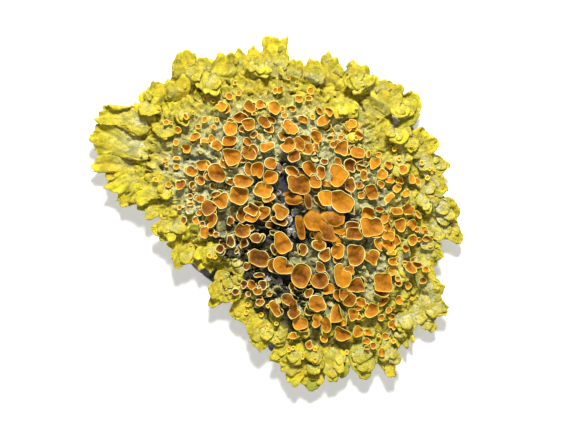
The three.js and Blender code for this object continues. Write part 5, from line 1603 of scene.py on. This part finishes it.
def disc_plan(row, rng, ring, low):
    """All the choices for one disc, always drawn in the same order."""
    x, y, long, wide, turn = row
    domed = (x, y) in DOMED
    plate = domed or (x, y) in SHAPED
    disc = SimpleNamespace(x=x, y=y, ring=ring, low=low, domed=domed, shape=own_shape((x, y), rng))
    curled = disc.shape.get("notch", (0, 0, 0))[1] > CURLED_NOTCH
    crowded, disc.lines = (0, []) if ring or curled or low or domed else pressing(row, rng)
    growth = DOMED_GROWTH if domed else DISC_GROWTH + CROWD_GROWTH * min(4, crowded)
    disc.long = long * growth
    disc.narrow = min(1, wide * growth / disc.long)
    leaning = disc.narrow < NARROWEST_UPRIGHT and not plate
    lean = min(0.5, 0.65 * math.acos(disc.narrow)) if leaning else 0
    disc.wide = wide * growth / math.cos(lean)
    disc.radius = radius = (disc.long + disc.wide) / 4
    size = "big" if radius > 1.05 and not low else "middling" if radius > 0.68 else "small"
    disc.mesh, fine = CUPS[size]
    choose_section(disc, fine, rng)
    wavy = WAVINESS * min(1, 1.5 * disc.narrow)
    disc.waves = [
        (count, rng.uniform(0.2, 1) * wavy / count, rng.uniform(0, math.tau)) for count in (2, 3, 4, 5)
    ]
    disc.saddle = radius * rng.uniform(0.1, 0.3) * (1 if fine else 0.3)
    disc.saddle_turn, disc.fold_turn = rng.uniform(0, math.tau), rng.uniform(0, math.tau)
    disc.ripple = RIPPLE * radius * (1 if fine else 0.4)
    choose_stance(disc, turn, lean, rng)
    choose_colour(disc, rng)
    disc.crease = unit(rng.uniform(0, math.pi))
    disc.crease_depth = CREASE * radius * (fine and not plate) * rng.choice((0, 1, 1))
    disc.seed = rng.uniform(0, 50)
    disc.curl = rng.uniform(0.3, 0.75) * rng.choice((0, 0, 1)) * (fine and not plate and lean == 0)
    disc.side = unit(rng.uniform(0, math.pi) + math.pi / 2)
    return disc


print("a disc of 2 mm gets a rim about", RIM_WIDTH, "mm wide")

# %% [markdown]
# Bending a cup: each point keeps its place along the section and its angle, and is moved in turn by
# the outline, by the neighbours, which also push the rim up, by a swelling and thinning of the rim,
# and by the curl of a folded disc, its saddle, its ripples and its crease. Only the upper part
# bends, so the root stays where it stands. Where discs overlap, the later one slips under the
# earlier ones: any point of it that lies below an earlier disc is pushed down beneath it. The
# domed discs have grown into one mass, and so run into each other.

# %% Bend and set down one cup
STACK_GAP = 0.1
PRESS_RISE = 0.8
UPPER_PART = 0.3
placed_cups = []


def press_in(disc, px, py, z, out):
    """A point of the cup, moved by the neighbours that press on the disc."""
    free = math.hypot(px, py) / out
    squeeze = pressed_reach(free, math.atan2(py, px), disc.lines) / free
    kept = 1 + (squeeze - 1) * smooth_step(0.3, 1, out)
    rise = PRESS_RISE * disc.radius * (1 - squeeze) * out * out * (z > UPPER_PART * disc.height)
    return px * kept, py * kept, z + rise


def bend_upper(disc, px, py, z, out, angle):
    """A point of the wall or the disc, moved by the curl, the saddle, the ripples and the crease."""
    aside = disc.side.dot(Vector((px, py)))
    bend = disc.curl * (aside / disc.radius) ** 2
    z += bend * disc.radius
    px -= 0.4 * bend * aside * disc.side.x
    py -= 0.4 * bend * aside * disc.side.y
    z += disc.saddle * out * out * math.cos(2 * angle + disc.saddle_turn)
    z += 0.5 * disc.saddle * out * math.cos(3 * angle + disc.fold_turn)
    z += disc.ripple * noise.noise(Vector((px, py, disc.seed)) / 0.7)
    beside = disc.crease.cross(Vector((px, py))) / (0.3 * disc.radius)
    along = smooth_step(-0.2, 0.9, disc.crease.dot(Vector((px, py))) / disc.radius)
    sunk = disc.crease_depth * along * math.exp(-beside * beside)
    return px - 0.8 * sunk * disc.crease.x, py - 0.8 * sunk * disc.crease.y, z - sunk


def bent(disc, angle, r, z, part, heart):
    """Where a point of the turned cup goes, before the disc is set down."""
    out = r / disc.radius
    upper = z > UPPER_PART * disc.height
    share = outline_share(angle, disc.waves, disc.shape, disc.narrow)
    share = 1 + (share - 1) * smooth_step(0.3, 1, out)
    px = r * share * disc.long / 2 / disc.radius * math.cos(angle)
    py = r * share * disc.wide / 2 / disc.radius * math.sin(angle)
    if disc.lines and out > 0.3:
        px, py, z = press_in(disc, px, py, z, out)
    if part > 0.3 and heart == 0 and r < 0.99 * disc.radius:
        swell = noise.noise(Vector((1.4 * math.cos(angle), 1.4 * math.sin(angle), disc.seed)))
        thinner = 1 - 0.9 * disc.rim * swell / disc.radius
        px, py = px * thinner, py * thinner
    return Vector(bend_upper(disc, px, py, z, out, angle) if upper else (px, py, z))


def slip_under(points, faces, disc):
    """Lowers a new disc wherever an earlier one covers it, then adds it to the earlier ones."""
    for x, y, radius, tree in placed_cups:
        if not disc.domed and math.hypot(x - disc.x, y - disc.y) < 1.3 * (disc.radius + radius):
            for point in points:
                height = height_on(tree, point.co.x, point.co.y)
                if height is not None:
                    point.co.z = min(point.co.z, height - STACK_GAP)
    tree = BVHTree.FromPolygons([point.co.copy() for point in points], faces)
    placed_cups.append((disc.x, disc.y, disc.radius, tree))


def set_cup(bm, row, rng, ring, low):
    """Adds a copy of a turned cup to the bmesh, bent and set down as the disc of this row."""
    disc = disc_plan(row, rng, ring, low)
    first = len(bm.verts)
    bm.from_mesh(disc.mesh)
    bm.verts.ensure_lookup_table()
    floats = bm.verts.layers.float
    station = bm.verts.layers.int["station"]
    made = bm.verts[first:]
    for point in made:
        r, z, part, heart = disc.section[point[station]]
        angle = math.atan2(point.co.y, point.co.x)
        point.co = disc.place @ bent(disc, angle, r, z, part, heart)
        if disc.domed and part > 0.3:
            part = max(part, 0.8)
        for value, amount in dict(disc.colours, part=part, heart=heart).items():
            point[floats[value]] = amount
    slip_under(made, [tuple(face.vertices) for face in disc.mesh.polygons], disc)


print("cups are bent above", UPPER_PART, "of their height")

# %% [markdown]
# The discs make five pieces. In each of the large ones the largest discs come first, because the
# later ones slip under them. Where discs crowd, lower ones peep out from under the upper ones as
# crescents. They can't be read from above, so a seeded rule gives one to most crowded discs. The
# young rings come last.

# %% Pieces of discs
UNDER_RADIUS = 0.65
UNDER_SHARE = 0.85
SPLIT_LINE = 1
disc_random = random.Random(41)


def disc_piece(name, rows, ring=False, low=False):
    bm = bmesh.new()
    bm.verts.layers.int.new("station")
    for value in ("part", "heart", "browning_and_shade", "painted_middle_shade", "fresh"):
        bm.verts.layers.float.new(value)
    for row in rows:
        set_cup(bm, row, disc_random, ring, low)
    return finish_piece(name, bm, [DISC], "thallus")


def under_rows(rng):
    """A lower disc beside each crowded one."""
    rows = []
    for row in DISCS:
        x, y, long, wide, turn = row
        radius = (long + wide) / 4
        crowded, _ = pressing(row, rng)
        if radius < UNDER_RADIUS or crowded < 2 or (x, y) in DOMED or rng.random() > UNDER_SHARE:
            continue
        way, off = rng.uniform(0, math.tau), radius * rng.uniform(0.4, 0.75)
        size = rng.uniform(0.8, 1.0)
        rows.append((x + off * math.cos(way), y + off * math.sin(way), size * long, size * wide, turn + 30))
    print(len(rows), "discs under the others")
    return rows


by_size = sorted(DISCS, key=lambda row: -row[2] * row[3])
disc_piece("discs_upper", [row for row in by_size if row[1] >= SPLIT_LINE])
disc_piece("discs_lower", [row for row in by_size if row[1] < SPLIT_LINE])
disc_piece("discs_small", SMALL_DISCS)
disc_piece("discs_under", under_rows(random.Random(53)), low=True)
disc_piece("discs_young", RINGS, ring=True)
